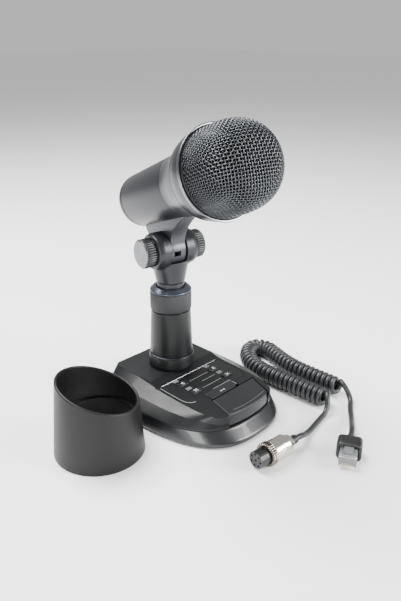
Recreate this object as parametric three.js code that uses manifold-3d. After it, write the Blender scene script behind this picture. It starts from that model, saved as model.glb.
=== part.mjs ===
// Desk microphone with its loose hood and its coiled cord set.
// Millimetres, +Z up, front of the base towards -Y, origin on the column's axis at the desk.

import * as THREE from 'three';
import { mergeVertices } from 'three/addons/utils/BufferGeometryUtils.js';
import Module from 'manifold-3d';

const wasm = await Module();
wasm.setup();

// ---- Driving dimensions ------------------------------------------------------------------

const ROUND = 30;             // sides of a large round piece
const SMALL = 16;             // sides of a small one
const CLEAR = 0.3;            // gap between pieces that seat on each other
const RUN = 0.6;              // gap round pieces that move

const base = {
  halfWidth: 52,              // widest half width, at the skirt
  rearY: 29,                  // rear face
  rearHalf: 40,               // half width at the rear face, at the skirt
  frontY: -88.8,              // foot of the front apron
  cornerR: 4,                 // rounding of the two rear corners
  skirtH: 4,                  // upright part of the skirt
  partingZ: 12,               // top of the tray, where the housing starts
  apronY: -81,                // front of the housing
  ridgeHalf: 43.8,            // half width at the ridge along each side
  ridgeZ: 19.2,
  deckHalf: 33.4,             // half width of the flat top
  deckZ: 26.4,                // height of the rear deck
  deckFrontY: -12,            // where the deck starts to fall
  panelRearY: -18.7,          // where the panel starts
  panelZ: 23.6,               // height of the panel's rear edge
  frontZ: 21.8,               // height of the top at the very front
  wall: 2.2,
  floor: 2.4,                 // thickness of the tray's bottom
  footH: 0.8,                 // feet stand this far below the tray
};

const panel = { halfWidth: 31.5, frontY: -50.5, frontHalf: 29, cornerR: 4, thick: 1.4 };
const strip = { halfLength: 29.2, width: 1.3, proud: 0.35 };
const button = { width: 8.4, depth: 4.6, proud: 1.1, stem: 5.4, travel: 0.8, cornerR: 0.8 };
const buttonPlaces = [
  ['rear_left', -15.4, -28.0], ['rear_right', 17.6, -28.4],
  ['front_left', -15.0, -41.6], ['front_right', 18.6, -41.0],
];
const led = { width: 3.4, depth: 2.0, proud: 0.2, dx: -1.2, dy: 6.6 };
const lockKey = { halfWidth: 14.2, rearY: -47.8, frontY: -56.6, thick: 1.6 };
const pressBar = {
  rearY: -57.2, rearLeft: -15.2, rearRight: 30.4,
  frontLeft: -20.4, frontRight: 22.4, frontY: -80.4,
  sideY: -77.6, faceDrop: 9.1, shell: 2.0, pinR: 1.2, pinY: -62.4,
};

const column = {
  flangeR: 17.6, flangeTopR: 17.0, flangeH: 9.4, trimH: 0.8, trimR: 17.0,
  bottomR: 16.4, topR: 14.9, topZ: 72.2, wall: 2.2,
};
const collar = { r: 15.5, bandH: 14.6, chamferH: 3.6, chamferR: 12.4, ribs: 30, ribDepth: 0.25 };
const yoke = {
  shoulderR: 10.8, shoulderDrop: 24.5,
  earR: 13.6, earFaceR: 12.8, earOut: 16.4, gapHalf: 6.6, saddleHalfDepth: 11.6, gapDepth: 8,
};
const mast = { r: 10.3, foot: 44, boreR: 7.8, spigotR: 7.4, spigotLen: 16 };
const pivotZ = 118.9;         // height of the tilt axis
const knob = { r: 10.6, start: 17.2, end: 24.4, faceR: 9.9, faceProud: 0.6, flutes: 20, fluteDepth: 0.35 };
const bolt = { r: 3, headR: 5 };
const heading = -11.2;        // degrees the yoke is swivelled from straight ahead
const tilt = 21.5;            // degrees the head points up

const head = {
  axisH: 39.3,                // head's axis above the tilt axis
  rear: -27, rearR: 19.7, rearRound: 3.2,
  barrelEnd: 39, barrelR: 21.6, wall: 2.2,
  flareEnd: 64.5, flareR: 28.3,
  bandEnd: 77.6, bandR: 30.7,
  rimEnd: 80.2, rimR: 31.1,
  capDepth: 6,
};
const grille = { start: 77.6, length: 41.2, r: 29.0, power: 3.6, thick: 1.1, neckR: 25.6 };
const capsule = { r: 17, depth: 9, at: 88 };
const knuckle = { half: 6.2, r: 12.3, rear: -18, front: 42, bore: 3.25 };

const hood = {
  x: -87.4, y: -19.4, bottomR: 31.2, topR: 26.8, wall: 2.0,
  highZ: 56, lowZ: 38, lowHeading: -46, ledgeZ: 22, ledgeH: 2, ledgeIn: 1.6,
};

const cord = { d: 4.1, coilR: 7.4 };
const connector = { x: -0.9, y: -115.3, heading: 173.7, axisZ: 8.3, shellR: 7.5, ringR: 8.3,
  ringAt: 18.4, ringLen: 5, insertR: 6.1, insertEnd: 31.6, bootR: 3.6, bootLen: 6 };
const modular = { x: 33.6, y: -142.2, heading: 207, shroudW: 17, shroudH: 13.2, shroudBack: 4.6, shroudFront: 16, mouthDepth: 8.4,
  bootLen: 2.4, plugW: 11.7, plugH: 6.6, plugEnd: 27.4 };

// ---- Colours and finishes ----------------------------------------------------------------

function finish(color, roughness, metalness) {
  return new THREE.MeshStandardMaterial({ color, roughness, metalness });
}

const finishes = {
  housing: finish(0x3c3d40, 0.5, 0.1),
  skirt: finish(0x242527, 0.6, 0),
  panel: finish(0x1c1d1f, 0.45, 0),
  bright: finish(0xb9bcc0, 0.3, 1),
  key: finish(0x303134, 0.5, 0),
  window: finish(0x6b6e72, 0.3, 0),
  rubber: finish(0x1b1b1c, 0.85, 0),
  barrel: finish(0x66686d, 0.38, 0.5),
  mesh: finish(0x3a3b3d, 0.4, 0.7),
  foam: finish(0x141414, 0.95, 0),
  steel: finish(0x8d9094, 0.4, 1),
  board: finish(0x1f4a33, 0.6, 0),
  clear: finish(0xd8dde0, 0.1, 0),
};

// ---- Geometry helpers --------------------------------------------------------------------

// Merges a geometry down to shared positions, with its faces pointing out.
function closed(geometry) {
  const bare = geometry.clone();
  bare.deleteAttribute('normal');
  bare.deleteAttribute('uv');
  const merged = mergeVertices(bare, 1e-4);
  const from = merged.index.array;
  const faces = [];
  for (let i = 0; i < from.length; i += 3) {
    const [a, b, c] = [from[i], from[i + 1], from[i + 2]];
    if (a !== b && b !== c && c !== a) faces.push([a, b, c]);
  }
  const at = merged.attributes.position;
  const p = faces[0].map(() => new THREE.Vector3());
  let volume = 0;
  for (const face of faces) {
    face.forEach((v, k) => p[k].fromBufferAttribute(at, v));
    volume += p[0].dot(p[1].clone().cross(p[2]));
  }
  merged.setIndex((volume < 0 ? faces.map(([a, b, c]) => [a, c, b]) : faces).flat());
  return merged;
}

function toSolid(geometry) {
  const shell = closed(geometry);
  return new wasm.Manifold(new wasm.Mesh({
    numProp: 3,
    vertProperties: new Float32Array(shell.attributes.position.array),
    triVerts: new Uint32Array(shell.index.array),
  }));
}

function fromSolid(solid) {
  const mesh = solid.getMesh();
  const geometry = new THREE.BufferGeometry();
  geometry.setAttribute('position', new THREE.BufferAttribute(new Float32Array(mesh.vertProperties), 3));
  geometry.setIndex(new THREE.BufferAttribute(new Uint32Array(mesh.triVerts), 1));
  return geometry;
}

const cut = (body, ...tools) => fromSolid(tools.reduce((s, t) => s.subtract(toSolid(t)), toSolid(body)));
const join = (body, ...more) => fromSolid(more.reduce((s, t) => s.add(toSolid(t)), toSolid(body)));
const common = (a, b) => fromSolid(toSolid(a).intersect(toSolid(b)));

// A box from its lowest to its highest corner.
function block([x0, y0, z0], [x1, y1, z1]) {
  const box = new THREE.BoxGeometry(x1 - x0, y1 - y0, z1 - z0);
  return box.translate((x0 + x1) / 2, (y0 + y1) / 2, (z0 + z1) / 2);
}

// A solid of revolution round Z, from a closed profile of [radius, z] points.
function turned(profile, segments = ROUND) {
  const points = profile.map(([r, z]) => new THREE.Vector2(r, z));
  return new THREE.LatheGeometry(points, segments).rotateX(Math.PI / 2);
}

// The same round the head's axis, from [radius, distance forward] points; forward is -Y.
function turnedForward(profile, segments = ROUND) {
  return turned(profile, segments).rotateX(Math.PI / 2).translate(0, 0, head.axisH);
}

// A round bar along X between two places.
function barX(radius, x0, x1, segments = SMALL) {
  const bar = new THREE.CylinderGeometry(radius, radius, x1 - x0, segments);
  return bar.rotateZ(Math.PI / 2).translate((x0 + x1) / 2, 0, 0);
}

// An upright prism of a plan outline.
function prism(outline, z0, z1, curveSegments = 12) {
  const depth = z1 - z0;
  return new THREE.ExtrudeGeometry(outline, { depth, bevelEnabled: false, curveSegments }).translate(0, 0, z0);
}

function roundedRectangle(width, depth, r) {
  const [w, d] = [width / 2, depth / 2];
  const s = new THREE.Shape();
  s.moveTo(-w + r, -d).lineTo(w - r, -d).absarc(w - r, -d + r, r, -Math.PI / 2, 0);
  s.lineTo(w, d - r).absarc(w - r, d - r, r, 0, Math.PI / 2);
  s.lineTo(-w + r, d).absarc(-w + r, d - r, r, Math.PI / 2, Math.PI);
  s.lineTo(-w, -d + r).absarc(-w + r, -d + r, r, Math.PI, 1.5 * Math.PI);
  return s;
}

// ---- Base outline ------------------------------------------------------------------------

// Places along each side of the base, as shares of the way back (above 0) and forward (below 0).
const frontSteps = 9;
const stations = [
  ...[1, 0.97, 0.88, 0.6, 0.3, 0],
  base.deckFrontY / base.apronY * -1, base.panelRearY / base.apronY * -1,
  ...Array.from({ length: frontSteps }, (_, i) => {
    const start = Math.asin(Math.abs(base.panelRearY / base.apronY));
    return -Math.sin(start + (Math.PI / 2 - start) * (i + 1) / frontSteps);
  }),
];

// One closed ring of the base: a flat rear edge with rounded corners, sides that swell out to the
// full half width, and a front that is half of a superellipse |x/w|^n + |y/f|^n = 1.
function ring({ half, rearHalf, rearY, frontY, power, z }) {
  const right = stations.map((t) => {
    const y = t > 0 ? t * rearY : -t * frontY;
    let x = t > 0 ? half - (half - rearHalf) * t * t : half * (1 - Math.abs(t) ** power) ** (1 / power);
    const intoCorner = base.cornerR - (rearY - y);
    if (intoCorner > 0) x -= base.cornerR - Math.sqrt(base.cornerR ** 2 - intoCorner ** 2);
    return [Math.abs(t + 1) < 1e-9 ? 0 : x, y, z(y)];
  });
  const left = right.slice(0, -1).reverse().map(([x, y, height]) => [-x, y, height]);
  return [...right, ...left];
}

// A closed body through a stack of such rings, capped by strips across from right to left.
function stacked(rings) {
  const n = rings[0].length;
  const positions = rings.flat(2);
  const index = [];
  for (let k = 0; k + 1 < rings.length; k++) {
    for (let i = 0; i < n; i++) {
      const [a, b] = [k * n + i, k * n + (i + 1) % n];
      index.push(a, a + n, b, b, a + n, b + n);
    }
  }
  const top = (rings.length - 1) * n;
  for (let i = 0; i < (n - 1) / 2; i++) {
    const [r0, r1, l0, l1] = [i, i + 1, n - 1 - i, n - 2 - i];
    index.push(r0, r1, l0, top + r0, top + l0, top + r1);
    if (r1 !== l1) index.push(r1, l1, l0, top + r1, top + l0, top + l1);
  }
  const geometry = new THREE.BufferGeometry();
  geometry.setAttribute('position', new THREE.Float32BufferAttribute(positions, 3));
  geometry.setIndex(index);
  return geometry;
}

// Height of the top surface at a distance along the base: deck, fall to the panel, gentle fall to the front.
function topHeight(y) {
  if (y >= base.deckFrontY) return base.deckZ;
  if (y >= base.panelRearY) {
    const t = (base.deckFrontY - y) / (base.deckFrontY - base.panelRearY);
    return base.deckZ + (base.panelZ - base.deckZ) * t;
  }
  const t = (base.panelRearY - y) / (base.panelRearY - base.apronY);
  return base.panelZ + (base.frontZ - base.panelZ) * t;
}

// The ridge keeps its height along the sides and falls towards the front.
function ridgeHeight(y) {
  const t = Math.max(0, (-45 - y) / (-45 - base.apronY));
  return base.ridgeZ - 4.6 * t * t;
}

const skirtRing = (inset, z, frontY = base.frontY) => ring({
  half: base.halfWidth - inset, rearHalf: base.rearHalf - inset, rearY: base.rearY - inset,
  frontY: frontY + inset, power: 2.8, z: () => z,
});

function housingRings(inset, bottomZ) {
  const lower = { half: base.halfWidth - 0.4 - inset, rearHalf: base.rearHalf - 0.4 - inset,
    rearY: base.rearY - 0.4 - inset, frontY: base.apronY + inset, power: 2.9 };
  return [
    ring({ ...lower, z: () => bottomZ }),
    ring({ ...lower, z: () => Math.max(base.partingZ + 1.6 - inset, bottomZ + 0.5) }),
    ring({ half: base.ridgeHalf - inset, rearHalf: 36.6 - inset, rearY: base.rearY - 0.5 - inset,
      frontY: base.apronY + 0.3 + inset, power: 3.4, z: (y) => ridgeHeight(y) - inset }),
    ring({ half: base.deckHalf + 0.6 - inset, rearHalf: base.deckHalf - inset, rearY: base.rearY - 0.6 - inset,
      frontY: base.apronY + 0.5 + inset, power: 6, z: (y) => topHeight(y) - 0.6 - inset }),
    ring({ half: base.deckHalf - inset, rearHalf: base.deckHalf - 0.6 - inset, rearY: base.rearY - 1.2 - inset,
      frontY: base.apronY + 1.1 + inset, power: 6, z: (y) => topHeight(y) - inset }),
  ];
}

// ---- Base pieces -------------------------------------------------------------------------

const trayBottom = base.footH;
const padSink = 1.2;          // depth of the foot pads' seats in the tray
const padTop = trayBottom + padSink - 0.05;
const feet = [[-38, 14], [38, 14], [-34, -58], [34, -58]];
const screws = [[-30, 18], [30, 18], [-36, -44], [36, -44]];
const postR = 3.2;
const footR = 5.6;
const middleFootR = 8.6;

function screwPosts(z0, z1, r) {
  return screws.map(([x, y]) => new THREE.CylinderGeometry(r, r, z1 - z0, 16).rotateX(Math.PI / 2)
    .translate(x, y, (z0 + z1) / 2));
}

function makeTray() {
  const top = base.partingZ - CLEAR;
  const outer = stacked([
    skirtRing(0.5, trayBottom), skirtRing(0, trayBottom + 0.6), skirtRing(0, base.skirtH),
    skirtRing(0.2, top - 0.6, base.apronY - 0.8), skirtRing(0.5, top, base.apronY),
  ]);
  const room = stacked([
    skirtRing(base.wall + 0.6, trayBottom + base.floor, base.apronY + 1),
    skirtRing(base.wall + 0.6, top + 1, base.apronY + 1),
  ]);
  const holes = screwPosts(trayBottom - 1, trayBottom + base.floor + 1, 1.8);
  const heads = screwPosts(trayBottom - 1, trayBottom + 1.4, 3.2);
  const seat = (r) => turned([[0, 0], [r, 0], [r, trayBottom + padSink], [0, trayBottom + padSink]], SMALL);
  const seats = feet.map(([x, y]) => seat(footR + CLEAR).translate(x, y, 0));
  const middleSeat = seat(middleFootR + CLEAR);
  return join(cut(outer, room, ...holes, ...heads, ...seats, middleSeat), ...pressUprights());
}

function footPad(r) {
  return turned([[0, 0], [r - 0.5, 0], [r, 0.5], [r, padTop], [0, padTop]], SMALL);
}

// Outline of the opening for the press bar, open to the front.
function pressOutline(grow, frontReach = 0) {
  const b = pressBar;
  const s = new THREE.Shape();
  s.moveTo(b.rearLeft - grow, b.rearY + grow).lineTo(b.frontLeft - grow, b.sideY);
  if (frontReach) {
    s.lineTo(b.frontLeft - grow, b.frontY - frontReach).lineTo(b.frontRight + grow, b.frontY - frontReach);
    s.lineTo(b.frontRight + grow, b.sideY);
  } else {
    const middle = (b.frontLeft + b.frontRight) / 2;
    s.quadraticCurveTo(middle, 2 * b.frontY - b.sideY, b.frontRight + grow, b.sideY);
  }
  s.lineTo(b.rearRight + grow, b.rearY + grow);
  s.closePath();
  return s;
}

function panelOutline(grow) {
  const p = panel;
  const s = new THREE.Shape();
  const [w, f, y0, y1] = [p.halfWidth + grow, p.frontHalf + grow, base.panelRearY - strip.width - 0.6 + grow,
    p.frontY - grow];
  s.moveTo(-w, y0).lineTo(-w, y1 + 2.5 * p.cornerR).quadraticCurveTo(-w, y1 + 0.6, -f + p.cornerR, y1);
  s.lineTo(f - p.cornerR, y1).quadraticCurveTo(w, y1 + 0.6, w, y1 + 2.5 * p.cornerR).lineTo(w, y0).closePath();
  return s;
}

// Everything below the top surface less a depth, to trim inlaid pieces to the falling top.
const underTop = (depth) => stacked([skirtRing(-20, -5), ring({ half: 80, rearHalf: 80, rearY: 60,
  frontY: base.apronY - 20, power: 12, z: (y) => topHeight(y) - depth })]);

const lockOutline = (grow) => {
  const k = lockKey;
  const s = new THREE.Shape();
  s.moveTo(-k.halfWidth - grow, k.rearY + grow).lineTo(-k.halfWidth - grow, k.frontY - grow);
  s.lineTo(k.halfWidth + grow, k.frontY - grow).lineTo(k.halfWidth + grow, k.rearY + grow).closePath();
  return s;
};

function buttonOutline(x, y, grow) {
  const s = roundedRectangle(button.width + 2 * grow, button.depth + 2 * grow, button.cornerR);
  return prism(s, base.deckZ - 16, base.deckZ + 4, 3).translate(x, y, 0);
}

function makeHousing() {
  const outer = stacked(housingRings(0, base.partingZ));
  const room = stacked(housingRings(base.wall, base.partingZ - 1));
  const recess = cut(prism(panelOutline(CLEAR), 0, 60, 4), underTop(panel.thick + CLEAR));
  const stripSlot = block([-strip.halfLength - CLEAR, base.panelRearY - strip.width - CLEAR, base.panelZ - 1.2],
    [strip.halfLength + CLEAR, base.panelRearY + CLEAR, base.panelZ + 3]);
  const press = prism(pressOutline(RUN, 20), base.partingZ - 2, 60);
  const lockRecess = prism(lockOutline(RUN), base.partingZ + 2, 60);
  const buttonHoles = buttonPlaces.map(([, x, y]) => buttonOutline(x, y, CLEAR));
  const windowSeats = buttonPlaces.map(([, x, y]) => ledBlock(x, y, CLEAR));
  const bore = new THREE.CylinderGeometry(column.topR - 4, column.topR - 4, 20, 32).rotateX(Math.PI / 2)
    .translate(0, 0, base.deckZ);
  const j = jack;
  const socket = block([j.x - j.width / 2 - CLEAR, base.rearY - 12, j.z - j.height / 2 - CLEAR],
    [j.x + j.width / 2 + CLEAR, base.rearY + 3, j.z + j.height / 2 + CLEAR]);
  const seats = [recess, stripSlot, press, lockRecess, ...buttonHoles, ...windowSeats, bore, socket];
  const shell = cut(outer, room, ...seats);
  const posts = screwPosts(base.partingZ, base.deckZ - 0.5, postR).map((post) => common(outer, post));
  return cut(join(shell, ...posts), ...screwPosts(base.partingZ - 1, base.partingZ + 4, 1.3));
}

function makePanel() {
  const sheet = common(prism(panelOutline(0), 0, 60, 4), underTop(0));
  const plate = cut(sheet, underTop(panel.thick));
  const holes = buttonPlaces.map(([, x, y]) => buttonOutline(x, y, CLEAR));
  const lockRoom = prism(lockOutline(RUN), 0, 60);
  const windows = buttonPlaces.map(([, x, y]) => ledBlock(x, y, CLEAR));
  return cut(plate, ...holes, lockRoom, ...windows);
}

function ledBlock(x, y, grow) {
  const [cx, cy] = [x + led.dx, y + led.dy];
  return block([cx - led.width / 2 - grow, cy - led.depth / 2 - grow, topHeight(cy) - 0.8 - grow],
    [cx + led.width / 2 + grow, cy + led.depth / 2 + grow, topHeight(cy) + led.proud]);
}

function makeButton(x, y) {
  const cap = prism(roundedRectangle(button.width, button.depth, button.cornerR), 0, 1, 3);
  const low = topHeight(y) - button.stem;
  return cap.scale(1, 1, button.stem + button.proud).translate(x, y, low);
}

function makeLockKey() {
  const k = lockKey;
  const slab = cut(common(prism(lockOutline(0), 0, 60), underTop(-0.3)), underTop(k.thick));
  const notch = block([k.halfWidth - 3, k.frontY - 1, 0], [k.halfWidth + 1, k.frontY + 1.6, 60]);
  return cut(slab, notch);
}

const lugWidth = 3;
const lugReach = 2.3;
const lugPlaces = [pressBar.rearLeft + 6, pressBar.rearRight - 9];
const pressPinZ = base.frontZ - 4.2;

function makePressBar() {
  const b = pressBar;
  const whole = common(prism(pressOutline(0), base.frontZ - b.faceDrop, 60, 16), underTop(-0.3));
  const room = prism(insetPress(b.shell), 0, 60, 16);
  const hollow = common(room, underTop(b.shell));
  const lugs = lugPlaces.map((x) => block([x, b.pinY - lugReach, pressPinZ - lugReach],
    [x + lugWidth, b.pinY + lugReach, base.frontZ + 0.2]));
  const body = join(cut(whole, hollow), ...lugs);
  return cut(body, barX(b.pinR + 0.15, -60, 60).translate(0, b.pinY, pressPinZ));
}

// Two uprights moulded on the tray's floor carry the pin that the bar rocks on.
function pressUprights() {
  const b = pressBar;
  return [lugPlaces[0] + lugWidth + RUN, lugPlaces[1] - RUN - lugWidth].map((x) => cut(
    block([x, b.pinY - lugReach, trayBottom + 1], [x + lugWidth, b.pinY + lugReach, pressPinZ + 1.9]),
    barX(b.pinR + 0.05, -60, 60).translate(0, b.pinY, pressPinZ)));
}

function makePressPin() {
  const pin = barX(pressBar.pinR, lugPlaces[0] - 1, lugPlaces[1] + lugWidth + 1);
  return pin.translate(0, pressBar.pinY, pressPinZ);
}

function insetPress(inset) {
  const b = pressBar;
  const s = new THREE.Shape();
  s.moveTo(b.rearLeft + inset, b.rearY - inset).lineTo(b.frontLeft + inset, b.sideY);
  s.quadraticCurveTo((b.frontLeft + b.frontRight) / 2, 2 * (b.frontY + inset) - b.sideY, b.frontRight - inset, b.sideY);
  s.lineTo(b.rearRight - inset, b.rearY - inset).closePath();
  return s;
}

const jack = { x: 18, z: 18.3, width: 14.6, height: 10, depth: 15, portW: 12, portH: 7.4 };

function makeJack() {
  const j = jack;
  const face = base.rearY - 1.4;
  const body = block([j.x - j.width / 2, face - j.depth, j.z - j.height / 2],
    [j.x + j.width / 2, face, j.z + j.height / 2]);
  const port = block([j.x - j.portW / 2, face - 11, j.z - j.portH / 2], [j.x + j.portW / 2, face + 1, j.z + j.portH / 2]);
  return cut(body, port);
}

const board = { top: 11.2, thick: 1.6, halfWidth: 26, rearY: 12, frontY: -54 };
const weight = { halfWidth: 24, rearY: 14, frontY: -52, thick: 4 };
const keyMat = { thick: 1.6, halfWidth: 25, rearY: -24, frontY: -46 };

const floorTop = trayBottom + base.floor;

function makeWeight() {
  const w = weight;
  return block([-w.halfWidth, w.frontY, floorTop + 0.1], [w.halfWidth, w.rearY, floorTop + w.thick]);
}

function makeBoard() {
  const b = board;
  return block([-b.halfWidth, b.frontY, b.top - b.thick], [b.halfWidth, b.rearY, b.top]);
}

// The rubber mat under the buttons, with a dome below each stem.
function makeKeyMat() {
  const k = keyMat;
  const sheet = block([-k.halfWidth, k.frontY, board.top + 0.1], [k.halfWidth, k.rearY, board.top + k.thick]);
  const domes = buttonPlaces.map(([, x, y]) => {
    const tip = topHeight(y) - button.stem - button.travel - 0.2;
    return turned([[0, board.top + 1], [2.6, board.top + 1], [1.8, tip], [0, tip]], 16).translate(x, y, 0);
  });
  return join(sheet, ...domes);
}

function makeSwitch() {
  const y = (pressBar.rearY + pressBar.frontY) / 2;
  const body = block([-6, y - 3, floorTop + 0.1], [14, y + 3, floorTop + 8]);
  const tip = topHeight(y) - pressBar.shell - 0.6;
  const plunger = turned([[0, floorTop + 7], [1.2, floorTop + 7], [1.2, tip], [0, tip]], 16).translate(4, y, 0);
  return join(body, plunger);
}

// ---- Stand pieces ------------------------------------------------------------------------

const flangeZ = base.deckZ + CLEAR;
const trimZ = flangeZ + column.flangeH + 0.05;
const tubeZ = trimZ + column.trimH + 0.05;
const collarZ = column.topZ + CLEAR;

function makeFlange() {
  const c = column;
  const inner = c.topR - 4 - CLEAR;
  return turned([[inner - 2.4, flangeZ - 4.6], [inner, flangeZ - 4.6], [inner, flangeZ], [c.flangeR - 0.8, flangeZ],
    [c.flangeR, flangeZ + 0.9], [c.flangeTopR, flangeZ + c.flangeH], [inner - 2.4, flangeZ + c.flangeH],
    [inner - 2.4, flangeZ - 4.6]]);
}

function makeTrim() {
  const c = column;
  return turned([[c.trimR - 5, trimZ], [c.trimR, trimZ], [c.trimR, trimZ + c.trimH * 0.6],
    [c.trimR - 0.3, trimZ + c.trimH], [c.trimR - 5, trimZ + c.trimH], [c.trimR - 5, trimZ]]);
}

function makeColumn() {
  const c = column;
  const bore = mast.r + RUN;
  return turned([[bore, tubeZ], [c.bottomR, tubeZ], [c.topR, c.topZ], [bore, c.topZ], [bore, tubeZ]]);
}

const bandTop = collarZ + collar.bandH;

function makeCollarBand() {
  const k = collar;
  const s = new THREE.Shape();
  const steps = k.ribs * 2;
  for (let i = 0; i < steps; i++) {
    const r = k.r - (i % 2 ? k.ribDepth : 0);
    const a = (i / steps) * 2 * Math.PI;
    if (i === 0) s.moveTo(r, 0);
    else s.lineTo(r * Math.cos(a), r * Math.sin(a));
  }
  s.closePath();
  const band = prism(s, collarZ, bandTop);
  const trimmed = common(band, turned([[0, collarZ], [k.r - 0.9, collarZ], [k.r + 0.2, collarZ + 1.1],
    [k.r + 0.2, bandTop], [0, bandTop]]));
  return cut(trimmed, turned([[0, 0], [mast.r + 1.4, 0], [mast.r + 1.4, 200], [0, 200]]));
}

function makeCollarCap() {
  const k = collar;
  const z = bandTop + 0.1;
  const bore = mast.r + 0.4;
  return turned([[bore, z], [k.r, z], [k.r, z + 0.8], [k.chamferR, z + k.chamferH], [bore, z + k.chamferH],
    [bore, z]]);
}

// An elliptical ring of points, for the yoke's waist.
function ellipseRing(a, b, z, n = ROUND) {
  return Array.from({ length: n }, (_, i) => {
    const t = (i / n) * 2 * Math.PI;
    return [a * Math.cos(t), b * Math.sin(t), z];
  });
}

function loft(rings) {
  const n = rings[0].length;
  const positions = rings.flat(2);
  const index = [];
  for (let k = 0; k + 1 < rings.length; k++) {
    for (let i = 0; i < n; i++) {
      const [a, b] = [k * n + i, k * n + (i + 1) % n];
      index.push(a, b, b + n, a, b + n, a + n);
    }
  }
  const top = (rings.length - 1) * n;
  for (let i = 1; i + 1 < n; i++) index.push(0, i + 1, i, top, top + i, top + i + 1);
  const geometry = new THREE.BufferGeometry();
  geometry.setAttribute('position', new THREE.Float32BufferAttribute(positions, 3));
  geometry.setIndex(index);
  return geometry;
}

// The mast: a tube that rises out of the column and carries the yoke's spigot.
function makeMast() {
  const top = pivotZ - yoke.shoulderDrop - CLEAR;
  const m = mast;
  return turned([[m.boreR, m.foot], [m.r, m.foot], [m.r, top], [m.boreR, top], [m.boreR, m.foot]]);
}

// Local to the tilt axis: ears at both sides, a waist that narrows to a shoulder, and a spigot below it.
function makeYoke() {
  const k = yoke;
  const earProfile = [[0, -k.earOut], [k.earFaceR - 0.6, -k.earOut], [k.earFaceR, -k.earOut + 0.6],
    [k.earR, -k.earOut + 4], [k.earR, k.earOut - 4], [k.earFaceR, k.earOut - 0.6],
    [k.earFaceR - 0.6, k.earOut], [0, k.earOut]];
  const ears = turned(earProfile).rotateY(Math.PI / 2);
  const steps = 5;
  const waist = loft(Array.from({ length: steps + 1 }, (_, i) => {
    const t = i / steps;
    const swell = t ** 1.25;
    return ellipseRing(k.shoulderR + (k.earOut - 1 - k.shoulderR) * swell,
      k.shoulderR + (k.saddleHalfDepth - k.shoulderR) * swell, -k.shoulderDrop + t * (k.shoulderDrop - 5));
  }));
  const spigotFoot = -k.shoulderDrop - mast.spigotLen;
  const spigot = turned([[0, spigotFoot], [mast.spigotR, spigotFoot], [mast.spigotR, -k.shoulderDrop + 0.5],
    [0, -k.shoulderDrop + 0.5]]);
  const slot = barX(knuckle.r + RUN, -k.gapHalf, k.gapHalf, ROUND);
  const above = block([-k.gapHalf, -30, -k.gapDepth], [k.gapHalf, 30, 40]);
  const wiring = turned([[0, -90], [3, -90], [3, 0], [0, 0]], SMALL);
  const bore = barX(bolt.r + 0.1, -40, 40);
  return cut(join(ears, waist, spigot), slot, above, wiring, bore);
}

function makeKnob(side) {
  const k = knob;
  const s = new THREE.Shape();
  const steps = k.flutes * 2;
  for (let i = 0; i < steps; i++) {
    const r = k.r - (i % 2 ? k.fluteDepth : 0);
    const a = (i / steps) * 2 * Math.PI;
    if (i === 0) s.moveTo(r, 0);
    else s.lineTo(r * Math.cos(a), r * Math.sin(a));
  }
  s.closePath();
  const grip = prism(s, k.start, k.end);
  const shaftRoom = turned([[0, 0], [bolt.r + 0.1, 0], [bolt.r + 0.1, k.end - 2.4], [0, k.end - 2.4]], SMALL);
  const dish = turned([[0, k.end - 1.2], [k.faceR + CLEAR, k.end - 1.2], [k.faceR + CLEAR, k.end + 5], [0, k.end + 5]]);
  return cut(grip, shaftRoom, dish).rotateY(side * Math.PI / 2);
}

function makeKnobFace(side) {
  const k = knob;
  const back = k.end - 1.2 + 0.05;
  return turned([[0, back], [k.faceR, back], [k.faceR, k.end + 0.1], [k.faceR - 0.4, k.end + k.faceProud],
    [0, k.end + k.faceProud]]).rotateY(side * Math.PI / 2);
}

function makeWasher(side) {
  const [a, b] = [yoke.earOut + 0.1, knob.start - 0.1];
  return turned([[bolt.r + 0.1, a], [6.5, a], [6.5, b], [bolt.r + 0.1, b], [bolt.r + 0.1, a]], SMALL)
    .rotateY(side * Math.PI / 2);
}

// ---- Head pieces, local to the tilt axis -------------------------------------------------

function arc(cx, cy, r, from, to, steps) {
  return Array.from({ length: steps + 1 }, (_, i) => {
    const a = THREE.MathUtils.degToRad(from + (to - from) * i / steps);
    return [cx + r * Math.cos(a), cy + r * Math.sin(a)];
  });
}

function makeBarrel() {
  const h = head;
  const start = h.rear + h.capDepth + 0.2;
  const startR = THREE.MathUtils.mapLinear(start, h.rear, h.barrelEnd, h.rearR, h.barrelR);
  return turnedForward([[startR - h.wall, start], [startR, start], [h.barrelR, h.barrelEnd],
    [h.barrelR - h.wall, h.barrelEnd], [startR - h.wall, start]]);
}

function makeRearCap() {
  const h = head;
  const end = h.rear + h.capDepth;
  const endR = THREE.MathUtils.mapLinear(end, h.rear, h.barrelEnd, h.rearR, h.barrelR);
  const inner = endR - h.wall - CLEAR;
  const rim = arc(h.rearR - h.rearRound, h.rear + h.rearRound, h.rearRound, -90, 0, 3);
  return turnedForward([[0, h.rear], ...rim, [endR, end], [inner, end], [inner, end + 4], [inner - 2, end + 4],
    [inner - 2, h.rear + 2.4], [0, h.rear + 2.4]]);
}

// The flare swells from the barrel to the bright band along a quarter-cosine.
function makeFlare() {
  const h = head;
  const [a, b] = [h.barrelEnd + 0.2, h.flareEnd];
  const steps = 5;
  const outer = Array.from({ length: steps + 1 }, (_, i) => {
    const t = i / steps;
    return [h.barrelR + (h.flareR - h.barrelR) * (1 - Math.cos(t * Math.PI * 0.62)) / (1 - Math.cos(Math.PI * 0.62)),
      a + (b - a) * t];
  });
  const inner = outer.map(([r, y]) => [r - h.wall, y]).reverse();
  return turnedForward([...outer, ...inner, outer[0]]);
}

function makeBand() {
  const h = head;
  const a = h.flareEnd + 0.2;
  return turnedForward([[h.flareR - h.wall, a], [h.flareR, a], [h.bandR, h.bandEnd],
    [h.bandR - 2.6, h.bandEnd], [h.flareR - h.wall, a]]);
}

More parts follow.
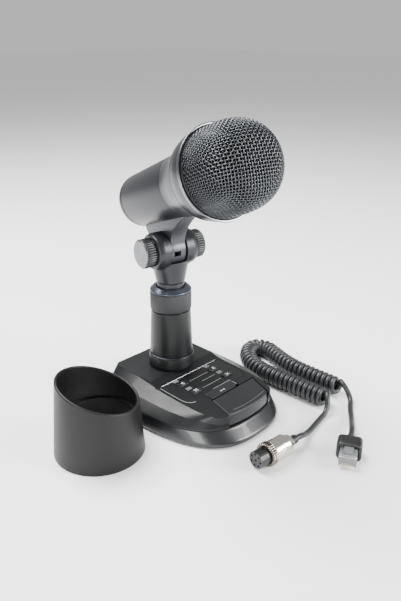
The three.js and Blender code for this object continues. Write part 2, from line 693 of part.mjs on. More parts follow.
function makeRim() {
  const h = head;
  const a = h.bandEnd + 0.2;
  return turnedForward([[h.bandR - 2, a], [h.rimR, a], [h.rimR, h.rimEnd - 0.5], [h.rimR - 0.5, h.rimEnd],
    [h.rimR - 1.6, h.rimEnd], [h.bandR - 2, a]]);
}

const grilleR = (t, inset) => (grille.r - inset) * (1 - t ** grille.power) ** (1 / grille.power);

// The basket: a superellipse of revolution, drawn in at its back edge to pass inside the rim.
function basketProfile(inset, back, steps = 6) {
  const side = [[grille.neckR - inset, back], [grille.neckR - inset, head.rimEnd + 0.4]];
  const curve = Array.from({ length: steps + 1 }, (_, i) => {
    const t = 0.1 + 0.9 * Math.sin((i / steps) * Math.PI / 2);
    return [i === steps ? 0 : grilleR(t, inset), grille.start + (grille.length - inset) * t];
  });
  return [...side, ...curve];
}

function makeGrille() {
  const back = head.bandEnd - 6;
  const outer = basketProfile(0, back);
  const inner = basketProfile(grille.thick, back).reverse();
  return turnedForward([...outer, ...inner, outer[0]]);
}

function makeFoam() {
  const gap = grille.thick + 0.5;
  const back = head.bandEnd - 5.5;
  const outer = basketProfile(gap, back, 5);
  const inner = basketProfile(gap + 3, back, 5).reverse();
  return turnedForward([...outer, ...inner, outer[0]], SMALL);
}

function makeCapsule() {
  const c = capsule;
  return turnedForward([[0, c.at], [c.r, c.at], [c.r, c.at + c.depth - 1], [c.r - 1, c.at + c.depth],
    [0, c.at + c.depth]]);
}

function makeCarrier() {
  const c = capsule;
  const h = head;
  return turnedForward([[0, h.flareEnd + 2], [h.flareR - h.wall - 0.6, h.flareEnd + 2],
    [h.flareR - h.wall - 0.6, h.flareEnd + 5], [c.r, h.flareEnd + 5], [c.r, c.at - 0.3], [0, c.at - 0.3]]);
}

// Side outline in the plane across the hinge, as (forward, up): a long saddle under the barrel
// that narrows in a hollow front and a straight back to the round knuckle.
function makeKnuckle() {
  const k = knuckle;
  const under = head.axisH - head.barrelR;
  const s = new THREE.Shape();
  s.moveTo(k.rear, under + 8).lineTo(k.rear, under).lineTo(-k.r * 0.98, k.r * 0.2);
  s.absarc(0, 0, k.r, Math.PI - 0.2, 2 * Math.PI + 0.1);
  s.bezierCurveTo(k.r + 2, 10, k.front - 16, under - 2, k.front - 3, under + 1);
  s.lineTo(k.front - 3, under + 8).closePath();
  const plate = new THREE.ExtrudeGeometry(s, { depth: 2 * k.half, bevelEnabled: false, curveSegments: 14 });
  plate.translate(0, 0, -k.half);
  plate.applyMatrix4(new THREE.Matrix4().makeBasis(
    new THREE.Vector3(0, -1, 0), new THREE.Vector3(0, 0, 1), new THREE.Vector3(-1, 0, 0)));
  const h = head;
  const barrelSpace = turnedForward([[0, h.rear - 5], [h.rearR + CLEAR - 0.1, h.rear - 5],
    [h.rearR + CLEAR - 0.1, h.rear], [h.barrelR + CLEAR, h.barrelEnd], [h.barrelR + CLEAR + 4, h.barrelEnd + 14],
    [0, h.barrelEnd + 14]]);
  const bore = barX(k.bore, -20, 20);
  const cableSlot = block([-2.2, -k.r - 1, -6.6], [2.2, -k.r + 5, -3.4]);
  return cut(plate, barrelSpace, bore, cableSlot);
}

// ---- Hood --------------------------------------------------------------------------------

// A tapered sleeve, open at both ends, cut by a slanted plane; local to its own axis.
function makeHood() {
  const h = hood;
  const rise = h.highZ + 6;
  const slope = (h.topR - h.bottomR) / h.highZ;
  const rAt = (z) => h.bottomR + slope * z;
  const tube = turned([[h.bottomR - h.wall, 0], [h.bottomR - 0.5, 0], [h.bottomR, 0.5], [rAt(rise), rise],
    [rAt(rise) - h.wall, rise], [h.bottomR - h.wall, 0]]);
  const angle = Math.atan2(h.highZ - h.lowZ, 2 * h.topR);
  const plane = block([-80, -80, 0], [80, 80, 80]).rotateY(angle);
  plane.translate(0, 0, (h.highZ + h.lowZ) / 2).rotateZ(THREE.MathUtils.degToRad(h.lowHeading));
  const wallAt = rAt(h.ledgeZ) - h.wall;
  const ledge = turned([[wallAt - h.ledgeIn, h.ledgeZ], [wallAt + 0.6, h.ledgeZ], [wallAt + 0.6, h.ledgeZ + h.ledgeH],
    [wallAt - h.ledgeIn, h.ledgeZ + h.ledgeH], [wallAt - h.ledgeIn, h.ledgeZ]]);
  return join(cut(tube, plane), ledge);
}

// ---- Cord set ----------------------------------------------------------------------------

// Routes on the desk, chosen by hand: x, y and height of the cord's middle.
const coilRoute = [
  [64.6, -97.2, 7.4], [64.4, -85.5, 7.4], [63.9, -64, 7.4], [63.9, -49.5, 7.4], [65.2, -36, 7.4],
  [70, -23.5, 7.4], [78.6, -13.2, 7.4], [88, -8.6, 7.4], [95, -10.6, 7.4], [97.6, -18, 7.4],
  [95.2, -27, 7.4], [90.4, -40.5, 7.4], [87, -56, 7.4], [86.3, -70.5, 7.4], [86.2, -84, 7.4],
  [86.2, -98.5, 7.4],
];
const connectorLead = [
  [69.2, -100, 9.4], [67.2, -102.2, 7.6], [62.8, -104.4, 4.6], [56, -106.4, 2.7], [48.9, -108.3, 2.3],
  [41, -110.2, 2.2], [33.7, -111.8, 2.3], [26, -113.4, 2.9], [19, -114.9, 4.6], [13, -116.2, 7.2],
  [9, -116.4, 8.1], [5.1, -115.96, 8.3], [0.1, -115.41, 8.3],
];
const plugLead = [
  [91.4, -101.2, 9.2], [90, -103.6, 7.4], [87.2, -106.6, 4.6], [82.5, -110.6, 2.6], [76.6, -115.3, 2.2],
  [70.4, -119.9, 2.2], [64, -124.4, 2.4], [57.5, -128.6, 3.3], [51.4, -132.4, 4.9], [46, -135.7, 6.3],
  [42.5, -137.66, 6.6], [38.1, -139.9, 6.6], [34.5, -141.75, 6.6],
];

function curve(route) {
  return new THREE.CatmullRomCurve3(route.map(([x, y, z]) => new THREE.Vector3(x, y, z)), false, 'centripetal');
}

function tubeAlong(route, r, sides, steps) {
  const s = new THREE.Shape();
  for (let i = 0; i < sides; i++) {
    const a = (i / sides) * 2 * Math.PI;
    if (i === 0) s.moveTo(r, 0);
    else s.lineTo(r * Math.cos(a), r * Math.sin(a));
  }
  s.closePath();
  return new THREE.ExtrudeGeometry(s, { steps, bevelEnabled: false, extrudePath: curve(route) });
}

function connectorPlace(mesh) {
  const c = connector;
  mesh.rotation.z = THREE.MathUtils.degToRad(c.heading);
  mesh.position.set(c.x, c.y, c.axisZ);
  return mesh;
}

const alongX = (profile, segments) => turned(profile, segments).rotateY(Math.PI / 2);

function makeConnectorShell() {
  const c = connector;
  return alongX([[cord.d / 2 + 0.3, 0], [5.2, 0], [5.9, 1], [6.3, 3.6], [c.shellR, 5], [c.shellR, c.ringAt - CLEAR],
    [c.insertR + CLEAR, c.ringAt - CLEAR], [c.insertR + CLEAR, 4], [cord.d / 2 + 0.3, 4], [cord.d / 2 + 0.3, 0]]);
}

function makeCouplingRing() {
  const c = connector;
  const a = c.ringAt;
  const inner = c.insertR + 1;
  return alongX([[inner, a], [c.ringR - 0.5, a], [c.ringR, a + 0.5], [c.ringR, a + c.ringLen - 0.5],
    [c.ringR - 0.5, a + c.ringLen], [inner, a + c.ringLen], [inner, a]]);
}

function makeInsert() {
  const c = connector;
  const end = c.insertEnd;
  const body = alongX([[0, 5], [c.insertR, 5], [c.insertR, end], [0, end]]);
  const holes = Array.from({ length: 8 }, (_, i) => {
    const a = (i / 7) * 2 * Math.PI;
    const r = i === 7 ? 0 : 4.1;
    return barX(0.8, end - 3, end + 1, 10).translate(0, r * Math.cos(a), r * Math.sin(a));
  });
  const key = block([end - 7.4, -1.2, c.insertR - 0.9], [end + 1, 1.2, c.insertR + 1]);
  return cut(body, ...holes, key);
}

function makeBoot() {
  const c = connector;
  return alongX([[cord.d / 2 + 0.3, -c.bootLen], [c.bootR - 0.5, -c.bootLen], [c.bootR, -1.2], [c.bootR, -0.3],
    [cord.d / 2 + 0.3, -0.3], [cord.d / 2 + 0.3, -c.bootLen]], SMALL);
}

function makeShroud() {
  const m = modular;
  const box = prism(roundedRectangle(m.shroudW, m.shroudH, 2), m.shroudBack, m.shroudFront, 4).rotateY(Math.PI / 2)
    .rotateX(Math.PI / 2);
  const back = m.shroudFront - m.mouthDepth;
  const mouth = block([back, -m.plugW / 2 - 1, -m.plugH / 2 - 1],
    [m.shroudFront + 1, m.plugW / 2 + 1, m.plugH / 2 + 2.2]);
  const latchRoom = block([back, -4.4, 2], [m.shroudFront + 1, 4.4, m.shroudH]);
  const channel = alongX([[0, 0], [cord.d / 2 + 0.3, 0], [cord.d / 2 + 0.3, back + 1], [0, back + 1]], 16);
  return cut(box, mouth, latchRoom, channel);
}

function makeRelief() {
  const m = modular;
  const end = m.shroudBack - CLEAR;
  return alongX([[cord.d / 2 + 0.3, -m.bootLen], [3, -m.bootLen], [4, end - 1], [4, end],
    [cord.d / 2 + 0.3, end], [cord.d / 2 + 0.3, -m.bootLen]], SMALL);
}

function makePlug() {
  const m = modular;
  const start = m.shroudFront - m.mouthDepth + CLEAR;
  const body = block([start, -m.plugW / 2, -m.plugH / 2], [m.plugEnd, m.plugW / 2, m.plugH / 2]);
  const latch = block([start + 1, -3.1, m.plugH / 2 - 0.5], [m.plugEnd - 4, 3.1, m.plugH / 2 + 1.4]);
  const slots = block([m.plugEnd - 6, -m.plugW / 2 + 1, -m.plugH / 2 - 1],
    [m.plugEnd + 1, m.plugW / 2 - 1, -m.plugH / 2 + 0.9]);
  return cut(join(body, latch), slots);
}

// ---- Assembly ----------------------------------------------------------------------------

function piece(name, geometry, material) {
  const mesh = new THREE.Mesh(geometry, material);
  mesh.name = name;
  return mesh;
}

const product = new THREE.Group();
const f = finishes;

function addBase() {
  product.add(piece('base_tray', makeTray(), f.skirt), piece('base_housing', makeHousing(), f.housing));
  feet.forEach(([x, y], i) => {
    const foot = piece(`foot_${i + 1}`, footPad(footR), f.rubber);
    foot.position.set(x, y, 0);
    product.add(foot);
  });
  product.add(piece('foot_middle', footPad(middleFootR), f.rubber));
  product.add(piece('weight_plate', makeWeight(), f.steel), piece('circuit_board', makeBoard(), f.board));
  product.add(piece('modular_jack', makeJack(), f.skirt), piece('press_switch', makeSwitch(), f.skirt));
  product.add(piece('press_pin', makePressPin(), f.steel), piece('key_mat', makeKeyMat(), f.rubber));
  product.add(piece('control_panel', makePanel(), f.panel));
  product.add(piece('panel_strip', block([-strip.halfLength, base.panelRearY - strip.width, base.panelZ - 0.8],
    [strip.halfLength, base.panelRearY, base.panelZ + strip.proud]), f.bright));
  for (const [name, x, y] of buttonPlaces) {
    product.add(piece(`button_${name}`, makeButton(x, y), f.key));
    product.add(piece(`window_${name}`, ledBlock(x, y, 0), f.window));
  }
  product.add(piece('lock_key', makeLockKey(), f.key), piece('press_bar', makePressBar(), f.key));
}

function addStand() {
  product.add(piece('column_flange', makeFlange(), f.skirt), piece('column_ring', makeTrim(), f.bright));
  product.add(piece('column', makeColumn(), f.housing), piece('mast', makeMast(), f.barrel));
  product.add(piece('lock_collar', makeCollarBand(), f.rubber), piece('collar_cap', makeCollarCap(), f.barrel));
}

function addHead() {
  const swivel = new THREE.Group();
  swivel.rotation.z = THREE.MathUtils.degToRad(heading);
  swivel.position.z = pivotZ;
  swivel.add(piece('yoke', makeYoke(), f.barrel));
  for (const [name, side] of [['left', -1], ['right', 1]]) {
    swivel.add(piece(`knob_${name}`, makeKnob(side), f.rubber));
    swivel.add(piece(`knob_face_${name}`, makeKnobFace(side), f.bright));
    swivel.add(piece(`washer_${name}`, makeWasher(side), f.steel));
  }
  swivel.add(piece('hinge_bolt', barX(bolt.r, -knob.end + 2.8, knob.end - 2.8), f.steel));
  const tilting = new THREE.Group();
  tilting.rotation.x = -THREE.MathUtils.degToRad(tilt);
  tilting.add(
    piece('head_knuckle', makeKnuckle(), f.barrel), piece('barrel', makeBarrel(), f.barrel),
    piece('rear_cap', makeRearCap(), f.barrel), piece('flare', makeFlare(), f.barrel),
    piece('head_band', makeBand(), f.bright), piece('grille_rim', makeRim(), f.bright),
    piece('grille', makeGrille(), f.mesh), piece('grille_foam', makeFoam(), f.foam),
    piece('capsule', makeCapsule(), f.steel),
    piece('capsule_carrier', makeCarrier(), f.rubber),
  );
  swivel.add(tilting);
  product.add(swivel);
}

function addHood() {
  const stand = new THREE.Group();
  stand.position.set(hood.x, hood.y, 0);
  stand.add(piece('hood', makeHood(), f.skirt));
  product.add(stand);
}

function addCordSet() {
  product.add(
    connectorPlace(piece('connector_shell', makeConnectorShell(), f.bright)),
    connectorPlace(piece('coupling_ring', makeCouplingRing(), f.bright)),
    connectorPlace(piece('connector_insert', makeInsert(), f.rubber)),
    connectorPlace(piece('connector_boot', makeBoot(), f.rubber)),
  );
  const end = new THREE.Group();
  end.rotation.z = THREE.MathUtils.degToRad(modular.heading);
  end.position.set(modular.x, modular.y, modular.shroudH / 2);
  end.add(piece('plug_shroud', makeShroud(), f.rubber), piece('plug_relief', makeRelief(), f.rubber),
    piece('modular_plug', makePlug(), f.clear));
  product.add(end);
  product.add(piece('cord_coil', tubeAlong(coilRoute, cord.coilR, 10, 32), f.rubber));
  product.add(piece('lead_to_connector', tubeAlong(connectorLead, cord.d / 2, 8, 11), f.rubber));
  product.add(piece('lead_to_plug', tubeAlong(plugLead, cord.d / 2, 8, 10), f.rubber));
}

addBase();
addStand();
addHead();
addHood();
addCordSet();

export default product;
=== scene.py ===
import math

import bmesh
import bpy
import numpy as np
from mathutils import Matrix, Vector


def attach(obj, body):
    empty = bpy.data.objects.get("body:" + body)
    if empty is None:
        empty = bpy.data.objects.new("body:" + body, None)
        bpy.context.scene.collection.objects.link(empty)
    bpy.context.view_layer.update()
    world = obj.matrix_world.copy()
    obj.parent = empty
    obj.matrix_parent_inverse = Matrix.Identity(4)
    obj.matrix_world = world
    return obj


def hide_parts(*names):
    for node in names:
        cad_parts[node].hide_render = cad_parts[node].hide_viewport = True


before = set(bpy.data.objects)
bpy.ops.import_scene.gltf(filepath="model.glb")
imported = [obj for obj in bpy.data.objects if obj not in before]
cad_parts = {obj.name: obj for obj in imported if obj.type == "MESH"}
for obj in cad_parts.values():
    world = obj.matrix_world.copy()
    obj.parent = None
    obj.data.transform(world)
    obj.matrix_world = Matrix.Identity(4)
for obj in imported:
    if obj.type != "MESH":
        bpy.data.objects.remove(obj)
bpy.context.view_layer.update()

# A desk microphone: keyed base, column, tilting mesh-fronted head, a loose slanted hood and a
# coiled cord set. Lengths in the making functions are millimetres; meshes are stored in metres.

MM = 0.001
TAU = 2 * math.pi


# ---- Places --------------------------------------------------------------------------------

def about(axis, degrees):
    """The matrix that turns by an angle about X, Y or Z."""
    return np.array(Matrix.Rotation(math.radians(degrees), 3, axis))


PIVOT = (0, 0, 118.9)
HEADING = -11.2
TILT = 21.5
AXIS_H = 39.3
ON_DESK = (np.eye(3), np.zeros(3))
ON_YOKE = (about("Z", HEADING), np.array(PIVOT))
ON_HEAD = (about("Z", HEADING) @ about("X", -TILT), np.array(PIVOT))
ON_HOOD = (np.eye(3), np.array((-87.4, -19.4, 0)))
ON_CONNECTOR = (about("Z", 173.7), np.array((-0.9, -115.3, 8.3)))
ON_PLUG = (about("Z", 207), np.array((33.6, -142.2, 6.6)))


# ---- Camera --------------------------------------------------------------------------------

def make_camera():
    """A camera at three quarters from the left, a little above the head."""
    turn, pitch, roll = (math.radians(a) for a in (-46.44, 23.11, 0.39))
    back = Vector((math.sin(turn) * math.cos(pitch), -math.cos(turn) * math.cos(pitch), math.sin(pitch)))
    side = Vector((0, 0, 1)).cross(back).normalized()
    rise = back.cross(side)
    right = math.cos(roll) * side + math.sin(roll) * rise
    up = math.cos(roll) * rise - math.sin(roll) * side
    camera = bpy.data.objects.new("camera", bpy.data.cameras.new("camera"))
    camera.matrix_world = Matrix((right, up, back)).transposed().to_4x4()
    camera.location = Vector((-305.8, -321.5, 267.0)) * MM
    camera.data.lens = 38.5
    camera.data.clip_end = 50
    bpy.context.scene.collection.objects.link(camera)
    bpy.context.scene.camera = camera


make_camera()


# ---- Materials -----------------------------------------------------------------------------

def linear(code):
    """An sRGB hex colour as linear red, green, blue and 1."""
    parts = [int(code[i:i + 2], 16) / 255 for i in (0, 2, 4)]
    return (*(c / 12.92 if c <= 0.04045 else ((c + 0.055) / 1.055) ** 2.4 for c in parts), 1)


def add(tree, kind, inputs=None, **settings):
    """Adds a node: inputs are values or the sockets that feed them, settings are its own properties."""
    node = tree.nodes.new(kind)
    for key, value in settings.items():
        setattr(node, key, value)
    for key, value in (inputs or {}).items():
        if isinstance(value, bpy.types.NodeSocket):
            tree.links.new(value, node.inputs[key])
        else:
            node.inputs[key].default_value = value
    return node


def begin(name, **sockets):
    """A new material with its shader's constants set on the shader's own sockets."""
    material = bpy.data.materials.new(name)
    material.use_nodes = True
    tree = material.node_tree
    shader = tree.nodes["Principled BSDF"]
    for key, value in sockets.items():
        shader.inputs[key.replace("_", " ")].default_value = value
    return material, tree, shader


def per_metre(millimetres):
    """The scale that repeats a pattern once in so many millimetres."""
    return 1 / (millimetres * MM)


def mottled(tree, shader, place, dark, light, size, rough, spread):
    """Colour and roughness that drift a little over a few millimetres, as any moulding's do."""
    drift = add(tree, "ShaderNodeTexNoise", {"Vector": place, "Scale": per_metre(size), "Detail": 3.0})
    tint = add(tree, "ShaderNodeMix", {0: drift.outputs["Fac"], 6: linear(dark), 7: linear(light)},
               data_type="RGBA")
    range_ = add(tree, "ShaderNodeMapRange", {"Value": drift.outputs["Fac"], "To Min": rough - spread,
                                              "To Max": rough + spread})
    tree.links.new(tint.outputs[2], shader.inputs["Base Color"])
    tree.links.new(range_.outputs["Result"], shader.inputs["Roughness"])


def grained(tree, shader, place, size, depth):
    """The bump of an eroded mould's grain, depth in millimetres."""
    grain = add(tree, "ShaderNodeTexNoise", {"Vector": place, "Scale": per_metre(size), "Detail": 2.0,
                                             "Roughness": 0.6})
    bump = add(tree, "ShaderNodeBump", {"Height": grain.outputs["Fac"], "Distance": depth * MM,
                                        "Strength": 1.0})
    tree.links.new(bump.outputs["Normal"], shader.inputs["Normal"])


def moulded(name, dark, light, rough, grain, depth, **sockets):
    """A moulded plastic or rubber with drifting tone and a grain of real size."""
    material, tree, shader = begin(name, **sockets)
    place = add(tree, "ShaderNodeTexCoord").outputs["Object"]
    mottled(tree, shader, place, dark, light, 9, rough, 0.05)
    grained(tree, shader, place, grain, depth)
    return material


def satin_paint(name, dark, light, rough, metallic, flake):
    """Metallic paint sprayed on die-cast: flakes finer than 0.1 mm, drawn at 0.25 mm so that they show."""
    material, tree, shader = begin(name, Metallic=metallic)
    place = add(tree, "ShaderNodeTexCoord").outputs["Object"]
    mottled(tree, shader, place, dark, light, 14, rough, 0.04)
    specks = add(tree, "ShaderNodeTexVoronoi", {"Vector": place, "Scale": per_metre(0.25)})
    bump = add(tree, "ShaderNodeBump", {"Height": specks.outputs["Distance"], "Distance": flake * MM,
                                        "Strength": 0.5})
    tree.links.new(bump.outputs["Normal"], shader.inputs["Normal"])
    return material


def turned_metal(name, dark, light, rough, pitch, depth, metallic=1.0):
    """Metal turned on a lathe: grooves follow the UV map's length, which runs across the tool marks."""
    material, tree, shader = begin(name, Metallic=metallic)
    uv = add(tree, "ShaderNodeTexCoord").outputs["UV"]
    across = add(tree, "ShaderNodeSeparateXYZ", {"Vector": uv}).outputs["Y"]
    marks = add(tree, "ShaderNodeTexNoise", {"W": across, "Scale": per_metre(pitch), "Detail": 3.0},
                noise_dimensions="1D")
    tint = add(tree, "ShaderNodeMix", {0: marks.outputs["Fac"], 6: linear(dark), 7: linear(light)},
               data_type="RGBA")
    bump = add(tree, "ShaderNodeBump", {"Height": marks.outputs["Fac"], "Distance": depth * MM,
                                        "Strength": 1.0})
    spread = add(tree, "ShaderNodeMapRange", {"Value": marks.outputs["Fac"], "To Min": rough - 0.07,
                                              "To Max": rough + 0.07})
    tree.links.new(tint.outputs[2], shader.inputs["Base Color"])
    tree.links.new(spread.outputs["Result"], shader.inputs["Roughness"])
    tree.links.new(bump.outputs["Normal"], shader.inputs["Normal"])
    return material


def clear_plastic():
    """Injection-moulded polycarbonate: clear, glossy, with the faint swirls of its flow."""
    material, tree, shader = begin("polycarbonate_clear_moulded", IOR=1.58, Transmission_Weight=0.85,
                                   Roughness=0.06)
    shader.inputs["Base Color"].default_value = linear("E6ECEE")
    place = add(tree, "ShaderNodeTexCoord").outputs["Object"]
    grained(tree, shader, place, 1.6, 0.05)
    return material


# ABS with a spark-eroded grain gives the housing its dull charcoal and its soft, wide sheen.
HOUSING = moulded("abs_charcoal_spark_eroded", "0F1011", "161718", 0.38, 0.45, 0.03, Specular_IOR_Level=0.28)
# The tray is moulded in the same ABS against a smoother steel, so its slopes shine more; its colour is a shade
# lighter than the housing's as painted light, for the sloping apron that catches the light.
TRAY = moulded("abs_charcoal_satin", "141517", "1B1C1F", 0.3, 0.6, 0.01, Coat_Weight=0.2)
# A screen-printed polyester overlay: flat black with the finest tooth.
OVERLAY = moulded("polyester_overlay_matte", "08090A", "0D0E0F", 0.45, 0.3, 0.012, Specular_IOR_Level=0.35)
# Keys are moulded a shade lighter than the overlay and are worn a little smoother.
KEYS = moulded("abs_key_satin", "121315", "191A1D", 0.33, 0.4, 0.012)
# The sleeve of the hood: thick-walled ABS, dull inside and out.
SLEEVE = moulded("abs_sleeve_matte", "0D0D0E", "141415", 0.44, 0.5, 0.04, Specular_IOR_Level=0.25)
# White ink fired through a screen sits flat and dull on the plastic.
# The same ink mixed to a pale grey, for the window frames and the lines between the keys, and used as painted
# highlight along the panel's left edge and the lock key's edge; let down again, it is a painted highlight on
# the press bar's arc, where the ridge of its dish would catch the light.
INK_AND_EDGE_HIGHLIGHT = moulded("ink_grey_and_painted_edge_highlight", "7E8083", "94969A", 0.5, 0.2, 0.004)
PAINTED_RIDGE_HIGHLIGHT = moulded("painted_ridge_highlight_grey", "46484B", "56585B", 0.5, 0.2, 0.004)
INK = moulded("ink_white_screened", "D6D8DA", "F2F3F4", 0.6, 0.2, 0.004)
# Smoked acrylic window over a lamp that is off.
WINDOW = moulded("acrylic_window_smoked", "55585B", "74777A", 0.2, 1.2, 0.004, Coat_Weight=0.4)
# Natural rubber of the pads, and of the mat under the keys.
RUBBER = moulded("rubber_black_moulded", "141414", "1E1E1F", 0.8, 0.5, 0.03)
# Fluted grips are a harder rubber with a low sheen.
GRIP = moulded("rubber_grip_fluted", "0E0F10", "17181A", 0.4, 0.35, 0.02)
# The collar's sleeve is thermoplastic rubber in a blue-black grey.
BAND = moulded("elastomer_band_ribbed", "101214", "17191C", 0.5, 0.35, 0.02)
# The cord's jacket is extruded PVC, dull, with a faint drag along it.
JACKET = moulded("pvc_jacket_extruded", "1A1B1D", "232427", 0.42, 0.7, 0.02)
# Black nylon of the connector's insert and boots.
NYLON = moulded("nylon_black_moulded", "0D0E0F", "151617", 0.36, 0.4, 0.012)
# Open-cell foam behind the wire, nearly black, with cells about half a millimetre wide.
FOAM = moulded("polyurethane_foam_open_cell", "020202", "070707", 0.95, 0.5, 0.25, Specular_IOR_Level=0.1)
# Die-cast zinc under a grey metallic paint: broad soft highlights with a fine sparkle.
PAINT = satin_paint("zinc_die_cast_grey_metallic", "27282B", "323337", 0.34, 0.6, 0.012)
# The flare is the same paint on a lighter, smoother casting.
PAINT_LIGHT = satin_paint("zinc_die_cast_light_metallic", "393A3F", "46484D", 0.32, 0.65, 0.01)
# The cap above the collar has a bluer coat.
PAINT_BLUE = satin_paint("zinc_die_cast_blue_metallic", "3C4148", "4B5058", 0.3, 0.6, 0.012)
# Turned and clear-anodised aluminium: rings of tool marks 0.15 mm apart, drawn at 0.3 mm to show.
SPUN = turned_metal("aluminium_turned_anodised", "4E5054", "8E9093", 0.24, 0.3, 0.02)
SPUN_SHADER = SPUN.node_tree.nodes["Principled BSDF"]
SPUN_SHADER.inputs["Anisotropic"].default_value = 0.85
SPUN.node_tree.links.new(add(SPUN.node_tree, "ShaderNodeTangent", direction_type="UV_MAP").outputs[0],
                         SPUN_SHADER.inputs["Tangent"])
BRIGHT_RIM = turned_metal("aluminium_turned_bright", "6A6C70", "85878B", 0.24, 0.4, 0.006)
BRIGHT_BAND = turned_metal("aluminium_band_satin", "3E4044", "4A4C50", 0.32, 0.5, 0.006)
# Nickel plate on turned brass: warm white metal, nearly a mirror.
NICKEL = turned_metal("brass_nickel_plated", "C9C4BA", "DAD6CE", 0.16, 0.6, 0.004)
# The coupling ring wears through to a darker, browner plate.
NICKEL_DARK = turned_metal("brass_nickel_worn", "6E6860", "8A847B", 0.26, 0.6, 0.006)
# Gold flash on phosphor bronze.
GOLD = turned_metal("bronze_gold_flashed", "C99A3E", "DDB35A", 0.24, 0.3, 0.002)
# Zinc-plated steel of the fasteners and the ballast.
STEEL = turned_metal("steel_zinc_plated", "85888B", "A0A3A6", 0.34, 0.4, 0.01)
# Drawn steel wire, woven and then coated: a thin semi-gloss film that keeps the metal's glint.
WIRE = satin_paint("steel_wire_woven_coated", "4A4C4F", "5C5E61", 0.28, 0.9, 0.004)
# Glass-fibre board under green solder mask.
BOARD = moulded("laminate_solder_masked", "173D29", "1F5236", 0.35, 0.8, 0.02)
CLEAR = clear_plastic()


# ---- Making meshes -------------------------------------------------------------------------

def softened(points, cut, steps=4, ring=True):
    """A polyline whose corners are turned into parabolas: each corner B is cut back to A and C on its
    two edges, and the curve is (1-t)^2 A + 2t(1-t) B + t^2 C. An open line keeps its two ends."""
    p = np.asarray(points, float)
    cuts = np.broadcast_to(np.asarray(cut, float), (len(p),))
    before, after = np.roll(p, 1, 0) - p, np.roll(p, -1, 0) - p
    reach = np.minimum(np.linalg.norm(before, axis=-1), np.linalg.norm(after, axis=-1)) * 0.45
    d = np.minimum(cuts, reach)[:, None]
    a = p + before / np.maximum(np.linalg.norm(before, axis=-1, keepdims=True), 1e-9) * d
    c = p + after / np.maximum(np.linalg.norm(after, axis=-1, keepdims=True), 1e-9) * d
    t = np.linspace(0, 1, steps + 1)[None, :, None]
    curve = (1 - t) ** 2 * a[:, None] + 2 * t * (1 - t) * p[:, None] + t ** 2 * c[:, None]
    if not ring:
        curve = [p[:1], *curve[1:-1], p[-1:]]
    return np.concatenate(list(curve))


def finish_mesh(obj, sharp):
    """Welds seams and poles, points every face outwards and marks edges sharper than an angle."""
    mesh = obj.data
    work = bmesh.new()
    work.from_mesh(mesh)
    bmesh.ops.remove_doubles(work, verts=work.verts, dist=2e-6)
    bmesh.ops.dissolve_degenerate(work, edges=work.edges, dist=1e-6)
    bmesh.ops.recalc_face_normals(work, faces=work.faces)
    work.to_mesh(mesh)
    work.free()
    mesh.shade_smooth()
    mesh.set_sharp_from_angle(angle=math.radians(sharp))


def mesh_of(name, rows, place=ON_DESK, wrap=(True, False), caps=True):
    """A mesh over a grid of points, rows by columns: neighbours make quads, wrap closes the columns or
    the rows on themselves, and caps fill the first and last row. The UV map is in metres: its U runs
    along the longest row and its V along the columns."""
    rows = np.asarray(rows, float) @ place[0].T + place[1]
    m, n = rows.shape[:2]
    i, j = np.meshgrid(np.arange(m if wrap[1] else m - 1), np.arange(n if wrap[0] else n - 1), indexing="ij")
    i2, j2 = (i + 1) % m, (j + 1) % n
    quads = np.stack([i * n + j, i * n + j2, i2 * n + j2, i2 * n + j], -1).reshape(-1, 4)
    faces = quads.tolist()
    if caps and not wrap[1]:
        faces += [list(range(n))[::-1], list(range((m - 1) * n, m * n))]
    mesh = bpy.data.meshes.new(name)
    mesh.from_pydata((rows.reshape(-1, 3) * MM).tolist(), [], faces)
    steps_u = np.linalg.norm(np.roll(rows, -1, 1) - rows, axis=-1).max(0) * MM
    steps_v = np.linalg.norm(np.roll(rows, -1, 0) - rows, axis=-1).max(1) * MM
    u, v = (np.concatenate([[0], np.cumsum(s)]) for s in (steps_u, steps_v))
    corners = np.stack([np.stack([u[j], u[j + 1], u[j + 1], u[j]], -1),
                        np.stack([v[i], v[i], v[i + 1], v[i + 1]], -1)], -1).reshape(-1, 2)
    layer = mesh.uv_layers.new(name="map")
    flat = np.zeros((len(mesh.loops), 2), np.float32)
    flat[:len(corners)] = corners
    layer.data.foreach_set("uv", flat.ravel())
    obj = bpy.data.objects.new(name, mesh)
    bpy.context.scene.collection.objects.link(obj)
    return obj


def settle(obj, material, body, nodes=(), sharp=32):
    """Finishes a piece: clean mesh, material, the body it rides on, the nodes it stands for."""
    finish_mesh(obj, sharp)
    obj.data.materials.clear()
    obj.data.materials.append(material)
    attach(obj, body)
    if nodes:
        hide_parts(*nodes)
    return obj


def spun_rows(profile, axis, segments):
    """A profile of (radius, distance) pairs turned about Z, about X, or about the head's axis, where
    distance runs forward: (r cos a, r sin a) with a going once round."""
    r, t = np.asarray(profile, float).T
    a = np.arange(segments) / segments * TAU
    x, y, t = r[:, None] * np.cos(a), r[:, None] * np.sin(a), np.repeat(t[:, None], segments, 1)
    if axis == "z":
        return np.stack([x, y, t], -1)
    if axis == "x":
        return np.stack([t, x, y], -1)
    return np.stack([x, -t, AXIS_H + y], -1)


def lathe(name, profile, axis, place, cut=0.3, segments=96, steps=4):
    """A closed turned shape. A profile that starts and ends on the axis closes at its poles, and any
    other profile closes on itself."""
    poles = abs(profile[0][0]) < 1e-6 and abs(profile[-1][0]) < 1e-6
    line = softened(profile, cut, steps, ring=not poles)
    return mesh_of(name, spun_rows(line, axis, segments), place, wrap=(True, not poles), caps=False)


